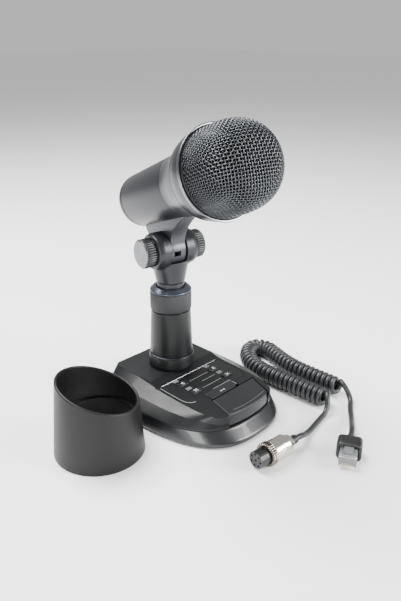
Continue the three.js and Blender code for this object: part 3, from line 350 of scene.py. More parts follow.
def inset(outline, distance):
    """A closed outline of (x, y) points moved inwards: each point goes along the mean of its two edge
    normals, further at a sharp corner."""
    p = np.asarray(outline, float)
    edge = np.roll(p, -1, 0) - p
    edge /= np.maximum(np.linalg.norm(edge, axis=1, keepdims=True), 1e-9)
    normal = np.stack([-edge[:, 1], edge[:, 0]], 1)
    mean = normal + np.roll(normal, 1, 0)
    mean /= np.maximum(np.linalg.norm(mean, axis=1, keepdims=True), 1e-9)
    area = np.sum(p[:, 0] * np.roll(p[:, 1], -1) - np.roll(p[:, 0], -1) * p[:, 1])
    reach = distance / np.maximum(np.sum(mean * normal, 1, keepdims=True), 0.5)
    return p + mean * reach * np.sign(area)


def slab(name, outline, levels, place=ON_DESK, height=None, swap=None):
    """A plate: the outline inset by d at height z for each level (d, z). height(x, y), where given, is
    added to z, and swap reorders the axes."""
    rows = []
    for d, z in levels:
        xy = inset(outline, d)
        lift = height(xy[:, 0], xy[:, 1]) if height else 0
        rows.append(np.column_stack([xy, np.full(len(xy), float(z)) + lift]))
    rows = np.array(rows)
    if swap:
        rows = swap(rows)
    return mesh_of(name, rows, place)


def rounded(low, high, edge, steps=4):
    """Levels of a plate whose two rims are quarter circles of radius edge."""
    a = np.linspace(0, math.pi / 2, steps + 1)
    up = [(edge * (1 - math.sin(t)), low + edge * (1 - math.cos(t))) for t in a]
    return up + [(d, low + high - z) for d, z in up[::-1]]


def round_box(width, depth, corner, steps=6):
    """The outline of a rectangle with round corners, anticlockwise."""
    a = np.linspace(0, math.pi / 2, steps + 1)
    quarter = np.stack([np.cos(a), np.sin(a)], 1) * corner
    parts = []
    for k, (sx, sy) in enumerate([(1, 1), (-1, 1), (-1, -1), (1, -1)]):
        turn = np.array([[math.cos(k * math.pi / 2), math.sin(k * math.pi / 2)],
                         [-math.sin(k * math.pi / 2), math.cos(k * math.pi / 2)]])
        parts.append(quarter @ turn + [sx * (width / 2 - corner), sy * (depth / 2 - corner)])
    return np.concatenate(parts)


def carved(obj, *cutters, operation="DIFFERENCE"):
    """Cuts the cutters away from a closed mesh, or joins them to it, and removes them."""
    for cutter in cutters:
        finish_mesh(cutter, 180)
    finish_mesh(obj, 180)
    for cutter in cutters:
        step = obj.modifiers.new("cut", "BOOLEAN")
        step.operation, step.solver, step.object = operation, "EXACT", cutter
    graph = bpy.context.evaluated_depsgraph_get()
    graph.update()
    shape = bpy.data.meshes.new_from_object(obj.evaluated_get(graph))
    obj.modifiers.clear()
    obj.data = shape
    for cutter in cutters:
        bpy.data.objects.remove(cutter)
    return obj


def bezier(a, b, c, d, steps):
    """Points of a cubic curve from a to d, drawn by b and c, without its first point."""
    t = np.linspace(0, 1, steps + 1)[1:, None]
    a, b, c, d = (np.asarray(q, float) for q in (a, b, c, d))
    return (1 - t) ** 3 * a + 3 * t * (1 - t) ** 2 * b + 3 * t ** 2 * (1 - t) * c + t ** 3 * d


# ---- Cords ---------------------------------------------------------------------------------

CORD_D = 4.1
COIL_R = 7.4
TURN_PITCH = 4.35
COIL_ROUTE = [
    (64.9, -100.6, 7.4), (64.4, -85.5, 7.4), (63.9, -64, 7.4), (63.9, -49.5, 7.4), (65.2, -36, 7.4),
    (70, -23.5, 7.4), (78.6, -13.2, 7.4), (88, -8.6, 7.4), (95, -10.6, 7.4), (97.6, -18, 7.4),
    (95.2, -27, 7.4), (90.4, -40.5, 7.4), (87, -56, 7.4), (86.3, -70.5, 7.4), (86.2, -84, 7.4),
    (86.2, -98.5, 7.4),
]
CONNECTOR_LEAD = [
    (64.6, -101.8, 12.9), (61.9, -104, 11.4), (59.7, -106.2, 8.4), (57.1, -107.6, 5.3), (53, -108.6, 3.1),
    (47, -109.4, 2.2), (41, -110.4, 2.2), (33.7, -111.8, 2.3),
    (26, -113.4, 2.9), (19, -114.9, 4.6), (13, -116.2, 7.2), (9, -116.4, 8.1), (5.1, -115.96, 8.3),
    (0.1, -115.41, 8.3),
]
PLUG_LEAD = [
    (86.3, -100, 13), (85.3, -103, 12.2), (85, -106.6, 9.2), (84.1, -109.8, 5.7), (81.4, -113, 3.2),
    (76.6, -116, 2.2), (70.4, -119.9, 2.2), (64, -124.4, 2.4),
    (57.5, -128.6, 3.3), (51.4, -132.4, 4.9), (46, -135.7, 6.3), (42.5, -137.66, 6.6), (38.1, -139.9, 6.6),
    (34.5, -141.75, 6.6),
]


def smooth_path(points, count):
    """A curve through points: between two of them it is a cubic whose slopes are those of the chord of
    their neighbours, sampled at even steps of its length."""
    p = np.asarray(points, float)
    chord = np.linalg.norm(np.diff(p, axis=0), axis=1) ** 0.5
    at = np.concatenate([[0], np.cumsum(chord)])
    slope = np.gradient(p, at, axis=0)
    s = np.linspace(0, at[-1], count * 8)
    k = np.clip(np.searchsorted(at, s, side="right") - 1, 0, len(p) - 2)
    h = (at[k + 1] - at[k])[:, None]
    t = ((s - at[k])[:, None]) / h
    fine = ((2 * t ** 3 - 3 * t ** 2 + 1) * p[k] + (t ** 3 - 2 * t ** 2 + t) * h * slope[k]
            + (3 * t ** 2 - 2 * t ** 3) * p[k + 1] + (t ** 3 - t ** 2) * h * slope[k + 1])
    run = np.concatenate([[0], np.cumsum(np.linalg.norm(np.diff(fine, axis=0), axis=1))])
    even = np.linspace(0, run[-1], count)
    return np.stack([np.interp(even, run, fine[:, c]) for c in range(3)], 1), run[-1]


def cord_path():
    """The whole cord's centreline: a lead, a helix of radius R about the coil's route whose angle grows
    by one turn per pitch, and the other lead. The helix starts and ends on top, facing its leads, and
    where they meet the points are averaged with their neighbours to ease the bend."""
    line, length = smooth_path(COIL_ROUTE, 1600)
    turns = round(length / TURN_PITCH)
    ahead = np.gradient(line, axis=0)
    ahead /= np.linalg.norm(ahead, axis=1, keepdims=True)
    up = np.array([0.0, 0.0, 1.0])
    side = np.cross(ahead, up)
    side /= np.linalg.norm(side, axis=1, keepdims=True)
    angle = math.pi / 2 - 0.4 - np.linspace(0, 1, len(line)) * TAU * (turns - 0.13)
    wind = COIL_R - CORD_D / 2
    helix = line + wind * (side * np.cos(angle)[:, None] + up * np.sin(angle)[:, None])
    first, _ = smooth_path([*CONNECTOR_LEAD[::-1], helix[2], helix[6], helix[10]], 90)
    last, _ = smooth_path([helix[-11], helix[-7], helix[-3], *PLUG_LEAD], 90)
    path = np.concatenate([first[:-1], helix[10:-10], last[1:]])
    share = np.hanning(52)[1:-1, None] ** 0.5 * 0.3
    for joint in (slice(54, 106), slice(-106, -54)):
        near = path[joint]
        for _ in range(14):
            near[1:-1] += share * (near[:-2] - 2 * near[1:-1] + near[2:])
    return path


def make_cord():
    """One cord from the round connector through the coil to the modular plug, as a swept curve."""
    path = cord_path()
    data = bpy.data.curves.new("cord", "CURVE")
    data.dimensions = "3D"
    data.bevel_depth = CORD_D / 2 * MM
    data.bevel_resolution = 3
    data.use_fill_caps = True
    line = data.splines.new("POLY")
    line.points.add(len(path) - 1)
    line.points.foreach_set("co", np.column_stack([path * MM, np.ones(len(path))]).ravel())
    line.use_smooth = True
    data.materials.append(JACKET)
    cord = bpy.data.objects.new("cord", data)
    bpy.context.scene.collection.objects.link(cord)
    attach(cord, "base")
    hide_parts("cord_coil", "lead_to_connector", "lead_to_plug")
    length = float(np.linalg.norm(np.diff(path, axis=0), axis=1).sum()) * MM
    return cord, path, length


CORD, CORD_PATH, CORD_LENGTH = make_cord()


# ---- Head ----------------------------------------------------------------------------------

REAR, REAR_R, BARREL_END, BARREL_R = -27, 19.7, 39, 21.6
FLARE_END, FLARE_R, BAND_END, BAND_R, RIM_END, RIM_R = 64.5, 28.3, 77.6, 30.7, 80.2, 31.1
WALL = 2.2
CAP_END = REAR + 6


def barrel_radius(s):
    """The barrel widens evenly from its rear to the flare."""
    return REAR_R + (BARREL_R - REAR_R) * (s - REAR) / (BARREL_END - REAR)


def make_barrel():
    """Barrel, rear cap, flare, band and rim: turned shells whose joints stay open by 0.2 mm. The flare's
    radius rises as 1 - cos(0.62 pi t) of its length t."""
    def shell(name, outer, wall, nodes, material, cut=0.35, sharp=32):
        profile = [*outer, *[(r - wall, s) for r, s in outer[::-1]]]
        obj = lathe(name, profile, "head", ON_HEAD, cut, segments=144)
        settle(obj, material, "head", nodes, sharp=sharp)

    start = CAP_END + 0.2
    shell("barrel_tube", [(barrel_radius(start), start), (BARREL_R, BARREL_END)], WALL, ["barrel"], PAINT)
    a = np.linspace(-90, 0, 9)[:, None] * math.pi / 180
    rim = np.hstack([REAR_R - 3.2 + 3.2 * np.cos(a), REAR + 3.2 + 3.2 * np.sin(a)])
    cap = [(0, REAR + 0.5), (11.6, REAR + 0.5), (12, REAR + 0.05), (12.6, REAR), *rim.tolist(),
           (barrel_radius(CAP_END), CAP_END), (17, CAP_END), (17, CAP_END + 4), (0, CAP_END + 4)]
    settle(lathe("rear_cap_skin", cap, "head", ON_HEAD, 0.25, 144), PAINT, "head", ["rear_cap"])
    t = np.linspace(0, 1, 28)
    rise = (1 - np.cos(t * math.pi * 0.62)) / (1 - math.cos(math.pi * 0.62))
    flare = np.column_stack([BARREL_R + (FLARE_R - BARREL_R) * rise,
                             BARREL_END + 0.2 + (FLARE_END - BARREL_END - 0.2) * t]).tolist()
    shell("flare_skin", flare, WALL, ["flare"], PAINT_LIGHT, cut=0.2)
    band = [(FLARE_R, FLARE_END + 0.2), (FLARE_R + 1.5, FLARE_END + 6.8), (BAND_R, BAND_END)]
    shell("band_skin", band, 2.4, ["head_band"], BRIGHT_BAND, cut=0.4)
    rim = [(BAND_R - 2, BAND_END + 0.2), (RIM_R, BAND_END + 0.2), (RIM_R, RIM_END), (RIM_R - 1.6, RIM_END)]
    settle(lathe("rim_ring", rim, "head", ON_HEAD, 0.5, 144), BRIGHT_RIM, "head", ["grille_rim"])


GRILLE_START, GRILLE_LONG, GRILLE_R, GRILLE_POWER = 77.6, 41.2, 29.0, 3.6
NECK_R = 25.6


def basket_profile(inset_by, back=71.0):
    """The basket's side line as (radius, distance): a neck inside the rim, then a superellipse
    (s/L)^n + (r/R)^n = 1 to the pole."""
    t = 0.05 + 0.95 * np.sin(np.linspace(0, math.pi / 2, 200))
    r = (GRILLE_R - inset_by) * np.maximum(1 - t ** GRILLE_POWER, 0) ** (1 / GRILLE_POWER)
    s = GRILLE_START + (GRILLE_LONG - inset_by) * t
    neck = [(NECK_R - inset_by, back), (NECK_R - inset_by, RIM_END + 0.4)]
    return np.concatenate([neck, np.column_stack([r, s])])


MESH_PITCH = 2.0
WIRE_R = 0.37


def make_grille():
    """Plain-woven wire pressed into a basket. A wire is x = constant or y = constant on the flat blank;
    a blank point at distance d from the middle lies at length d along the basket's profile. There the
    basket's radius r is smaller than d, so directions are spread from the axes by the power d / r of
    their share of an eighth turn: wires keep their spacing down the sides and the slack gathers at the
    diagonals, as a pressed weave shears. Each wire goes over and under by a cosine of the crossing
    number."""
    profile = basket_profile(0.6)[::-1]
    run = np.concatenate([[0], np.cumsum(np.linalg.norm(np.diff(profile, axis=0), axis=1))])
    tangent = np.gradient(profile, run, axis=0)
    reach = run[-1] - 8
    count = int(reach / MESH_PITCH)
    steps = np.arange(-2 * count, 2 * count + 1) / 2
    sides = 5
    a = np.arange(sides) / sides * TAU
    points, faces, base = [], [], 0
    for family in (0, 1):
        for k in range(-count, count + 1):
            along = steps * MESH_PITCH
            fixed = np.full_like(along, k * MESH_PITCH)
            x, y = (fixed, along) if family == 0 else (along, fixed)
            d = np.hypot(x, y)
            keep = d < reach
            if keep.sum() < 4:
                continue
            x, y, d, n = x[keep], y[keep], d[keep], steps[keep]
            angle = np.arctan2(y, x)
            eighth = np.abs((angle + math.pi / 4) % (math.pi / 2) - math.pi / 4) / (math.pi / 4)
            gather = np.maximum(d / np.maximum(np.interp(d, run, profile[:, 0]), 1e-6), 1)
            eased = 1 - (1 - eighth) ** ((gather - 0.25) / 0.75)
            nearest = np.round(angle / (math.pi / 2)) * math.pi / 2
            angle = nearest + np.sign(angle - nearest) * math.pi / 4 * (0.25 * eighth + 0.75 * eased)
            r, s = np.interp(d, run, profile[:, 0]), np.interp(d, run, profile[:, 1])
            tr, ts = np.interp(d, run, tangent[:, 0]), np.interp(d, run, tangent[:, 1])
            out_r, out_s = -ts, tr
            wave = WIRE_R * np.cos(math.pi * (n + k)) * (1 if family == 0 else -1)
            r, s = r + wave * out_r, s + wave * out_s
            line = np.column_stack([r * np.cos(angle), -s, AXIS_H + r * np.sin(angle)])
            ahead = np.gradient(line, axis=0)
            ahead /= np.linalg.norm(ahead, axis=1, keepdims=True)
            normal = np.column_stack([out_r * np.cos(angle), -out_s, out_r * np.sin(angle)])
            side = np.cross(ahead, normal)
            side /= np.linalg.norm(side, axis=1, keepdims=True)
            normal = np.cross(side, ahead)
            thin = WIRE_R * np.clip(1.15 * np.interp(d, run, profile[:, 0]) / np.maximum(d, 1), 0.62, 1)
            rows = line[:, None] + thin[:, None, None] * (side[:, None] * np.cos(a)[None, :, None]
                                             + normal[:, None] * np.sin(a)[None, :, None])
            m = len(rows)
            i, j = np.meshgrid(np.arange(m - 1), np.arange(sides), indexing="ij")
            j2 = (j + 1) % sides
            quads = np.stack([i * sides + j, i * sides + j2, (i + 1) * sides + j2, (i + 1) * sides + j], -1)
            faces += (quads.reshape(-1, 4) + base).tolist()
            faces += [(np.arange(sides)[::-1] + base).tolist(),
                      (np.arange(sides) + base + (m - 1) * sides).tolist()]
            points.append(rows.reshape(-1, 3))
            base += m * sides
    points = np.concatenate(points) @ ON_HEAD[0].T + ON_HEAD[1]
    mesh = bpy.data.meshes.new("grille_weave")
    mesh.from_pydata((points * MM).tolist(), [], faces)
    weave = bpy.data.objects.new("grille_weave", mesh)
    bpy.context.scene.collection.objects.link(weave)
    settle(weave, WIRE, "head", ["grille"], sharp=180)

    outer, inner = basket_profile(2.6, 73), basket_profile(5.4, 73)[::-1]
    lining = np.concatenate([outer, inner])
    settle(lathe("foam_lining", lining, "head", ON_HEAD, 0.05, 72, steps=1), FOAM, "head", ["grille_foam"])
    holder = [(0, 66.5), (25.4, 66.5), (25.4, 72.6), (19, 72.6), (19, 87), (0, 87)]
    settle(lathe("capsule_holder", holder, "head", ON_HEAD, 0.5, 72), NYLON, "head", ["capsule_carrier"])
    hem = [(28.0, 78.0), (29.3, 78.2), (29.3, 80.0), (28.2, 80.6), (27.6, 80.0)]
    settle(lathe("grille_hem", hem, "head", ON_HEAD, 0.3, 120), NYLON, "head")


KNUCKLE_R, KNUCKLE_HALF = 12.3, 6.2


def make_knuckle():
    """The plate under the barrel: in the plane across the hinge its outline is a round knuckle, a
    hollow front and a straight rear, carried along the hinge axis with round edges."""
    under = AXIS_H - BARREL_R
    a = np.linspace(math.pi - 0.2, 2 * math.pi + 0.1, 48)[:, None]
    knuckle = KNUCKLE_R * np.hstack([np.cos(a), np.sin(a)])
    front = bezier(knuckle[-1], (14.3, 10), (26, under - 2), (39, under + 1), 16)
    outline = np.concatenate([[(-18, under + 3.4), (-18, under)], knuckle, front, [(39, under + 3.4)]])
    levels = rounded(-KNUCKLE_HALF, KNUCKLE_HALF, 0.7)

    def across(rows):
        return np.stack([rows[..., 2], -rows[..., 0], rows[..., 1]], -1)

    plate = slab("knuckle_plate", outline, levels, ON_HEAD, swap=across)
    notch = slab("notch", round_box(5.6, 3.2, 0.2) - [1.4, 0], [(0, -16), (0, -4.4)], ON_HEAD,
                 swap=lambda rows: np.stack([rows[..., 0], rows[..., 2], rows[..., 1] - 5.0], -1))
    settle(carved(plate, notch), PAINT_LIGHT, "head", ["head_knuckle"])


# ---- Stand ---------------------------------------------------------------------------------

def oval(a, b, z, count=96):
    """A ring of points (a cos t, b sin t) at height z."""
    t = np.arange(count) / count * TAU
    return np.column_stack([a * np.cos(t), b * np.sin(t), np.full(count, float(z))])


def make_yoke():
    """The fork: an ear drum along the hinge joined to a waist of ovals, whose half widths swell
    with the 1.15th power of height, cut by a slot the knuckle turns in; its skin is evened by a remesh."""
    drum = [(0, -16.4), (12.2, -16.4), (12.8, -15.8), (13.6, -12.4),
            (13.6, 12.4), (12.8, 15.8), (12.2, 16.4), (0, 16.4)]
    body = lathe("yoke_casting", drum, "x", ON_YOKE, 0.8, 96)
    t = np.linspace(0, 1, 14)[:, None]
    rings = np.stack([oval(10.8 + (16.2 - 10.8) * s ** 1.15, 10.8 + (12.4 - 10.8) * s ** 1.15, -24.5 + 20.5 * s)
                      for s in t[:, 0]])
    waist = mesh_of("waist", rings, ON_YOKE)
    carved(body, waist, operation="UNION")
    smooth = body.modifiers.new("skin", "REMESH")
    smooth.mode, smooth.voxel_size = "VOXEL", 0.5 * MM
    even = body.modifiers.new("even", "SMOOTH")
    even.iterations, even.factor = 10, 0.5
    spigot = lathe("spigot", [(0, -40), (7.4, -40), (7.4, -23), (0, -23)], "z", ON_YOKE, 0.2, 48)
    graph = bpy.context.evaluated_depsgraph_get()
    graph.update()
    skin = bpy.data.meshes.new_from_object(body.evaluated_get(graph))
    body.modifiers.clear()
    body.data = skin
    slot = lathe("slot", [(0, -6.6), (12.9, -6.6), (12.9, 6.6), (0, 6.6)], "x", ON_YOKE, 0.05, 96, steps=1)
    gap = slab("gap", np.array([(-6.6, -30), (6.6, -30), (6.6, 30), (-6.6, 30.0)]), [(0, -8), (0, 40)], ON_YOKE)
    carved(body, spigot, operation="UNION")
    carved(body, slot, gap)
    settle(body, PAINT, "yoke", ["yoke"], sharp=38)


def fluted(radius, depth, count, round_flute=True):
    """An outline whose radius dips by depth count times a turn: R - depth (1 - |cos(count a / 2)|)."""
    a = np.arange(count * 8) / (count * 8) * TAU
    wave = np.abs(np.cos(count * a / 2)) if round_flute else 0.5 + 0.5 * np.cos(count * a)
    r = radius - depth * (1 - wave)
    return np.column_stack([r * np.cos(a), r * np.sin(a)])


def make_knobs():
    """Two fluted grips with turned faces and washers behind them; the bolt that they clamp is left as imported.
    """
    for name, side in (("left", -1), ("right", 1)):
        def outward(rows, side=side):
            return np.stack([side * rows[..., 2], rows[..., 0], rows[..., 1] * side], -1)

        grip = slab(f"knob_grip_{name}", fluted(10.6, 0.45, 34), rounded(17.2, 24.4, 0.6, 3), ON_YOKE,
                    swap=outward)
        settle(grip, GRIP, f"knob_{name}", [f"knob_{name}"], sharp=50)
        face = [(0, 24.0), (9.8, 24.0), (9.8, 24.7), (9.4, 25.0), (0.9, 24.75), (0, 24.7)]
        disc = lathe(f"knob_disc_{name}", [(r, s * side) for r, s in face], "x", ON_YOKE, 0.15, 96)
        settle(disc, SPUN, f"knob_{name}", [f"knob_face_{name}"])
        ring = [(3.1, 16.5), (9.6, 16.5), (9.6, 17.1), (3.1, 17.1)]
        washer = lathe(f"knob_washer_{name}", [(r, s * side) for r, s in ring], "x", ON_YOKE, 0.15, 72)
        settle(washer, BRIGHT_RIM, "yoke", [f"washer_{name}"])


FLANGE_Z = 26.7
TUBE_Z = 37.0


def make_column():
    """Flange, trim ring, tapering tube and mast, all turned about the column's axis, then the ribbed
    collar and its cap."""
    flange = [(10.6, FLANGE_Z - 4.6), (10.6, FLANGE_Z), (16.9, FLANGE_Z), (17.6, FLANGE_Z + 0.9),
              (17.05, FLANGE_Z + 9.4), (8.2, FLANGE_Z + 9.4), (8.2, FLANGE_Z - 4.6)]
    settle(lathe("flange_skin", flange, "z", ON_DESK, 0.5, 144), HOUSING, "base", ["column_flange"])
    trim = [(12, 36.15), (17.0, 36.15), (17.0, 36.75), (16.5, 36.95), (12, 36.95)]
    settle(lathe("trim_ring", trim, "z", ON_DESK, 0.2, 144), BRIGHT_BAND, "base", ["column_ring"])
    tube_wall = [(10.9, TUBE_Z), (16.4, TUBE_Z), (14.9, 72.2), (10.9, 72.2)]
    settle(lathe("column_tube", tube_wall, "z", ON_DESK, 0.45, 144), HOUSING, "base", ["column"])
    mast = [(7.8, 44), (10.3, 44), (10.3, 94.1), (7.8, 94.1)]
    settle(lathe("mast_tube", mast, "z", ON_DESK, 0.3, 96), PAINT, "mast", ["mast"])
    low, high = 72.5, 87.1
    band = fluted(15.5, 0.16, 90, False)
    hole = oval(11.5, 11.5, 0, len(band))[:, :2]
    levels = [(1.2, low), (0.4, low + 0.2), (0.1, low + 0.7), (0, low + 1.2), (0, high - 0.5),
              (0.2, high - 0.15), (0.6, high)]
    rows = [np.column_stack([inset(band, d), np.full(len(band), z)]) for d, z in levels]
    rows += [np.column_stack([hole, np.full(len(band), z)]) for z in (high, low)]
    settle(mesh_of("collar_band", rows, wrap=(True, True)), BAND, "collar", ["lock_collar"], sharp=50)
    cap = [(10.7, 87.2), (15.5, 87.2), (15.5, 88.2), (12.5, 90.8), (10.7, 90.8)]
    settle(lathe("collar_cone", cap, "z", ON_DESK, 0.5, 144), PAINT_BLUE, "collar", ["collar_cap"])


# ---- Hood ----------------------------------------------------------------------------------

def make_hood():
    """A tapered sleeve under a slanted plane. The wall's outer radius is R0 + k z, and the lip's height
    at angle a is the plane's height there; the lip is a half circle across the wall."""
    bottom_r, top_r, wall, high, low, heading = 31.2, 26.8, 2.0, 56, 38, math.radians(-46)
    k = (top_r - bottom_r) / high
    tilt = math.atan2(high - low, 2 * top_r)
    a = np.arange(144) / 144 * TAU
    rise = -np.cos(a - heading) * math.tan(tilt)
    middle = (high + low) / 2
    lip = (middle + rise * bottom_r) / (1 - rise * k)
    lip = np.minimum(lip, high)
    rows = []
    for z, d in ((0.4, wall), (0.1, wall - 0.3), (0, wall - 0.6), (0, 0.5), (0.15, 0.15), (0.5, 0)):
        rows.append(np.stack([(bottom_r + k * z - d) * np.cos(a), (bottom_r + k * z - d) * np.sin(a),
                              np.full_like(a, z)], -1))
    for t in np.linspace(0, 1, 14)[1:]:
        z = 0.5 + (lip - 1.1 - 0.5) * t
        r = bottom_r + k * z
        rows.append(np.stack([r * np.cos(a), r * np.sin(a), z], -1))
    for t in np.linspace(0, math.pi, 9):
        z = lip - 1.0 + math.sin(t)
        r = bottom_r + k * z - wall / 2 + wall / 2 * math.cos(t)
        rows.append(np.stack([r * np.cos(a), r * np.sin(a), z], -1))
    ledge_z, ledge_in = 22, 1.6
    for t in np.linspace(0, 1, 7):
        z = (lip - 1.1) + (ledge_z + 2.3 - lip + 1.1) * t
        r = bottom_r + k * z - wall
        rows.append(np.stack([r * np.cos(a), r * np.sin(a), z], -1))
    for z, d in ((ledge_z + 2, 0.3), (ledge_z + 2, ledge_in), (ledge_z, ledge_in), (ledge_z, 0.3),
                 (ledge_z - 0.3, 0)):
        r = bottom_r + k * z - wall - d
        rows.append(np.stack([r * np.cos(a), r * np.sin(a), np.full_like(a, z)], -1))
    sleeve = mesh_of("hood_sleeve", rows, ON_HOOD, wrap=(True, True))
    settle(sleeve, SLEEVE, "hood", ["hood"], sharp=40)


make_barrel()
make_grille()
make_knuckle()
make_yoke()
make_knobs()
make_column()
make_hood()


# ---- Base ----------------------------------------------------------------------------------

DECK_Z, PANEL_Z, FRONT_Z, PARTING_Z = 26.4, 23.6, 21.8, 12.0
DECK_FRONT_Y, PANEL_REAR_Y, APRON_Y, TRAY_FRONT_Y, BASE_REAR_Y = -12.0, -18.7, -81.0, -88.8, 29.0


def top_height(y):
    """Height of the top at y: a level deck, a fall to the panel and a gentle fall to the front."""
    return np.interp(y, [APRON_Y, PANEL_REAR_Y, DECK_FRONT_Y], [FRONT_Z, PANEL_Z, DECK_Z])


def ridge_height(y):
    """The ridge stays at 19.2 and falls with the square of the distance ahead of y = -45."""
    return 19.2 - 4.6 * np.clip((-45 - y) / 36, 0, 1) ** 2


def base_ring(half, rear_half, rear_y, front_y, power, z):
    """A ring of the base, anticlockwise from the front: half a superellipse |x/w|^n + |y/f|^n = 1, sides
    x = w - (w - wr) t^2 behind, and a straight rear between two rounded corners."""
    a = np.linspace(0, math.pi / 2, 45)
    front = np.column_stack([half * np.sin(a) ** (2 / power), front_y * np.cos(a) ** (2 / power)])
    y = np.linspace(0, rear_y - 4, 12)[1:]
    side = np.column_stack([half - (half - rear_half) * (y / rear_y) ** 2, y])
    c = np.linspace(0, math.pi / 2, 14)[1:]
    edge = side[-1, 0]
    corner = np.column_stack([edge - 4 + 4 * np.cos(c), rear_y - 4 + 4 * np.sin(c)])
    across = np.column_stack([np.linspace(edge - 4, 0, 6)[1:], np.full(5, rear_y)])
    right = np.concatenate([front, side, corner, across])
    left = right[1:-1][::-1] * [-1, 1]
    ring = np.concatenate([right, left])
    height = z(ring[:, 1]) if callable(z) else np.full(len(ring), float(z))
    return np.column_stack([ring, height])


def prism_under(drop):
    """The room under the top surface less a drop: its side line carried across the base."""
    y = [80, 80, DECK_FRONT_Y, PANEL_REAR_Y, -120]
    fall = FRONT_Z - (PANEL_Z - FRONT_Z) / (PANEL_REAR_Y - APRON_Y) * (120 + APRON_Y)
    z = [-10, DECK_Z, DECK_Z, PANEL_Z, fall]
    line = np.column_stack([[*y, -120], np.array([*z, -10 + drop]) - drop])
    rows = [np.column_stack([np.full(len(line), x), line]) for x in (-90, 90)]
    return mesh_of("under", rows)


def base_block(name, d, bottom):
    """The housing's outer form inset by d: rings from the parting line over the ridge to the deck's
    edge, cut off under the top surface."""
    def edge(extra, z):
        return base_ring(33.9 - d - extra, 33.3 - d - extra, 28.3 - d, -80.4 + d + extra, 6, z)
    rows = [base_ring(51.6 - d, 39.6 - d, 28.6 - d, -81 + d, 2.9, bottom),
            base_ring(51.6 - d, 39.6 - d, 28.6 - d, -81 + d, 2.9, 13.4 - d * 0.6),
            base_ring(51.2 - d, 39.3 - d, 28.6 - d, -81 + d, 2.9, 13.8 - d * 0.6),
            base_ring(44.4 - d, 36.9 - d, 28.5 - d, -80.8 + d, 3.3, lambda y: ridge_height(y) - 0.25 - d),
            base_ring(43.4 - d, 36.4 - d, 28.5 - d, -80.7 + d, 3.4, lambda y: ridge_height(y) + 0.2 - d),
            edge(0, lambda y: top_height(y) - 0.3 - d), edge(1.0, lambda y: top_height(y) + 1 - d),
            edge(1.0, 40)]
    return carved(mesh_of(name, rows), prism_under(d), operation="INTERSECT")


def eased_edges(obj, width, angle=38, segments=2):
    """Rounds the sharp edges of a carved piece by a width in millimetres."""
    step = obj.modifiers.new("edges", "BEVEL")
    step.width, step.segments = width * MM, segments
    step.limit_method, step.angle_limit = "ANGLE", math.radians(angle)
    graph = bpy.context.evaluated_depsgraph_get()
    graph.update()
    shape = bpy.data.meshes.new_from_object(obj.evaluated_get(graph))
    obj.modifiers.clear()
    obj.data = shape
    return obj


def panel_outline(grow):
    """The panel's edge: straight at the rear, with wide corners at the front drawn by parabolas."""
    w, f, rear, front = 31.5 + grow, 29 + grow, -20.6 + grow, -50.5 - grow
    left = bezier((-w, front + 10), (-w, front + 4), (-w + 2, front + 0.4), (-f + 4, front), 10)
    right = left[::-1] * [-1, 1]
    return np.concatenate([[(-w, rear), (-w, front + 10)], left, right, [(w, front + 10), (w, rear)]])


BUTTONS = {"rear_left": (-15.4, -28.0), "rear_right": (17.6, -28.4), "front_left": (-15.0, -41.6),
           "front_right": (18.6, -41.0)}


def press_outline(grow, open_front=False):
    """The press bar's edge: a straight rear and left, a bowed front, and a hollow right side that runs
    from the lock key's corner to the front."""
    front = -100.0 if open_front else -77.6
    left = [(-15.2 - grow, -57.2 + grow), (-20.4 - grow, -77.6)]
    right = bezier((22.4 + grow, -77.6), (25.6 + grow, -71), (26.8 + grow, -63),
                   (30.4 + grow, -57.2 + grow), 12)
    if open_front:
        return np.array([*left, (left[1][0], front), (22.4 + grow, front), (22.4 + grow, -77.6), *right])
    bow = bezier(left[1], (-8, -79.6 - 1.6), (10, -79.6 - 1.6), (22.4 + grow, -77.6), 24)
    return np.array([*left, *bow, *right])


def box_outline(x0, x1, y0, y1):
    """A plain rectangle, anticlockwise."""
    return np.array([(x0, y0), (x1, y0), (x1, y1), (x0, y1)], float)


def make_housing():
    """The upper moulding: the base's form hollowed to its wall, with room for the panel, the keys, the
    press bar, the column and the socket."""
    shell = base_block("housing_shell", 0, PARTING_Z)
    room = base_block("room", 2.2, PARTING_Z - 1)
    slope = (PANEL_Z - FRONT_Z) / (PANEL_REAR_Y - APRON_Y)

    def lift(x, y):
        return PANEL_Z + slope * (y - PANEL_REAR_Y)

    cutters = [room, slab("cut_panel", panel_outline(0.25), [(0, -1.7), (0, 6)], height=lift),
               slab("cut_press", press_outline(0.3, True), [(0, 8), (0, 60)]),
               slab("cut_lock", box_outline(-14.7, 14.7, -57.1, -47.3), [(0, 14), (0, 60)]),
               slab("cut_bore", oval(10.9, 10.9, 0, 48)[:, :2], [(0, 20), (0, 40)]),
               slab("cut_strip", box_outline(-29.4, 29.4, -20.2, -18.5), [(0, 22.4), (0, 30)]),
               slab("cut_socket", box_outline(10.4, 25.6, 16, 33), [(0, 13), (0, 23.6)])]
    for key, (x, y) in BUTTONS.items():
        cutters.append(slab(f"cut_{key}", round_box(8.9, 5.1, 0.9) + [x, y], [(0, 10), (0, 40)]))
    for cutter in cutters:
        carved(shell, cutter)
    eased_edges(shell, 0.3)
    settle(shell, HOUSING, "base", ["base_housing"], sharp=9)


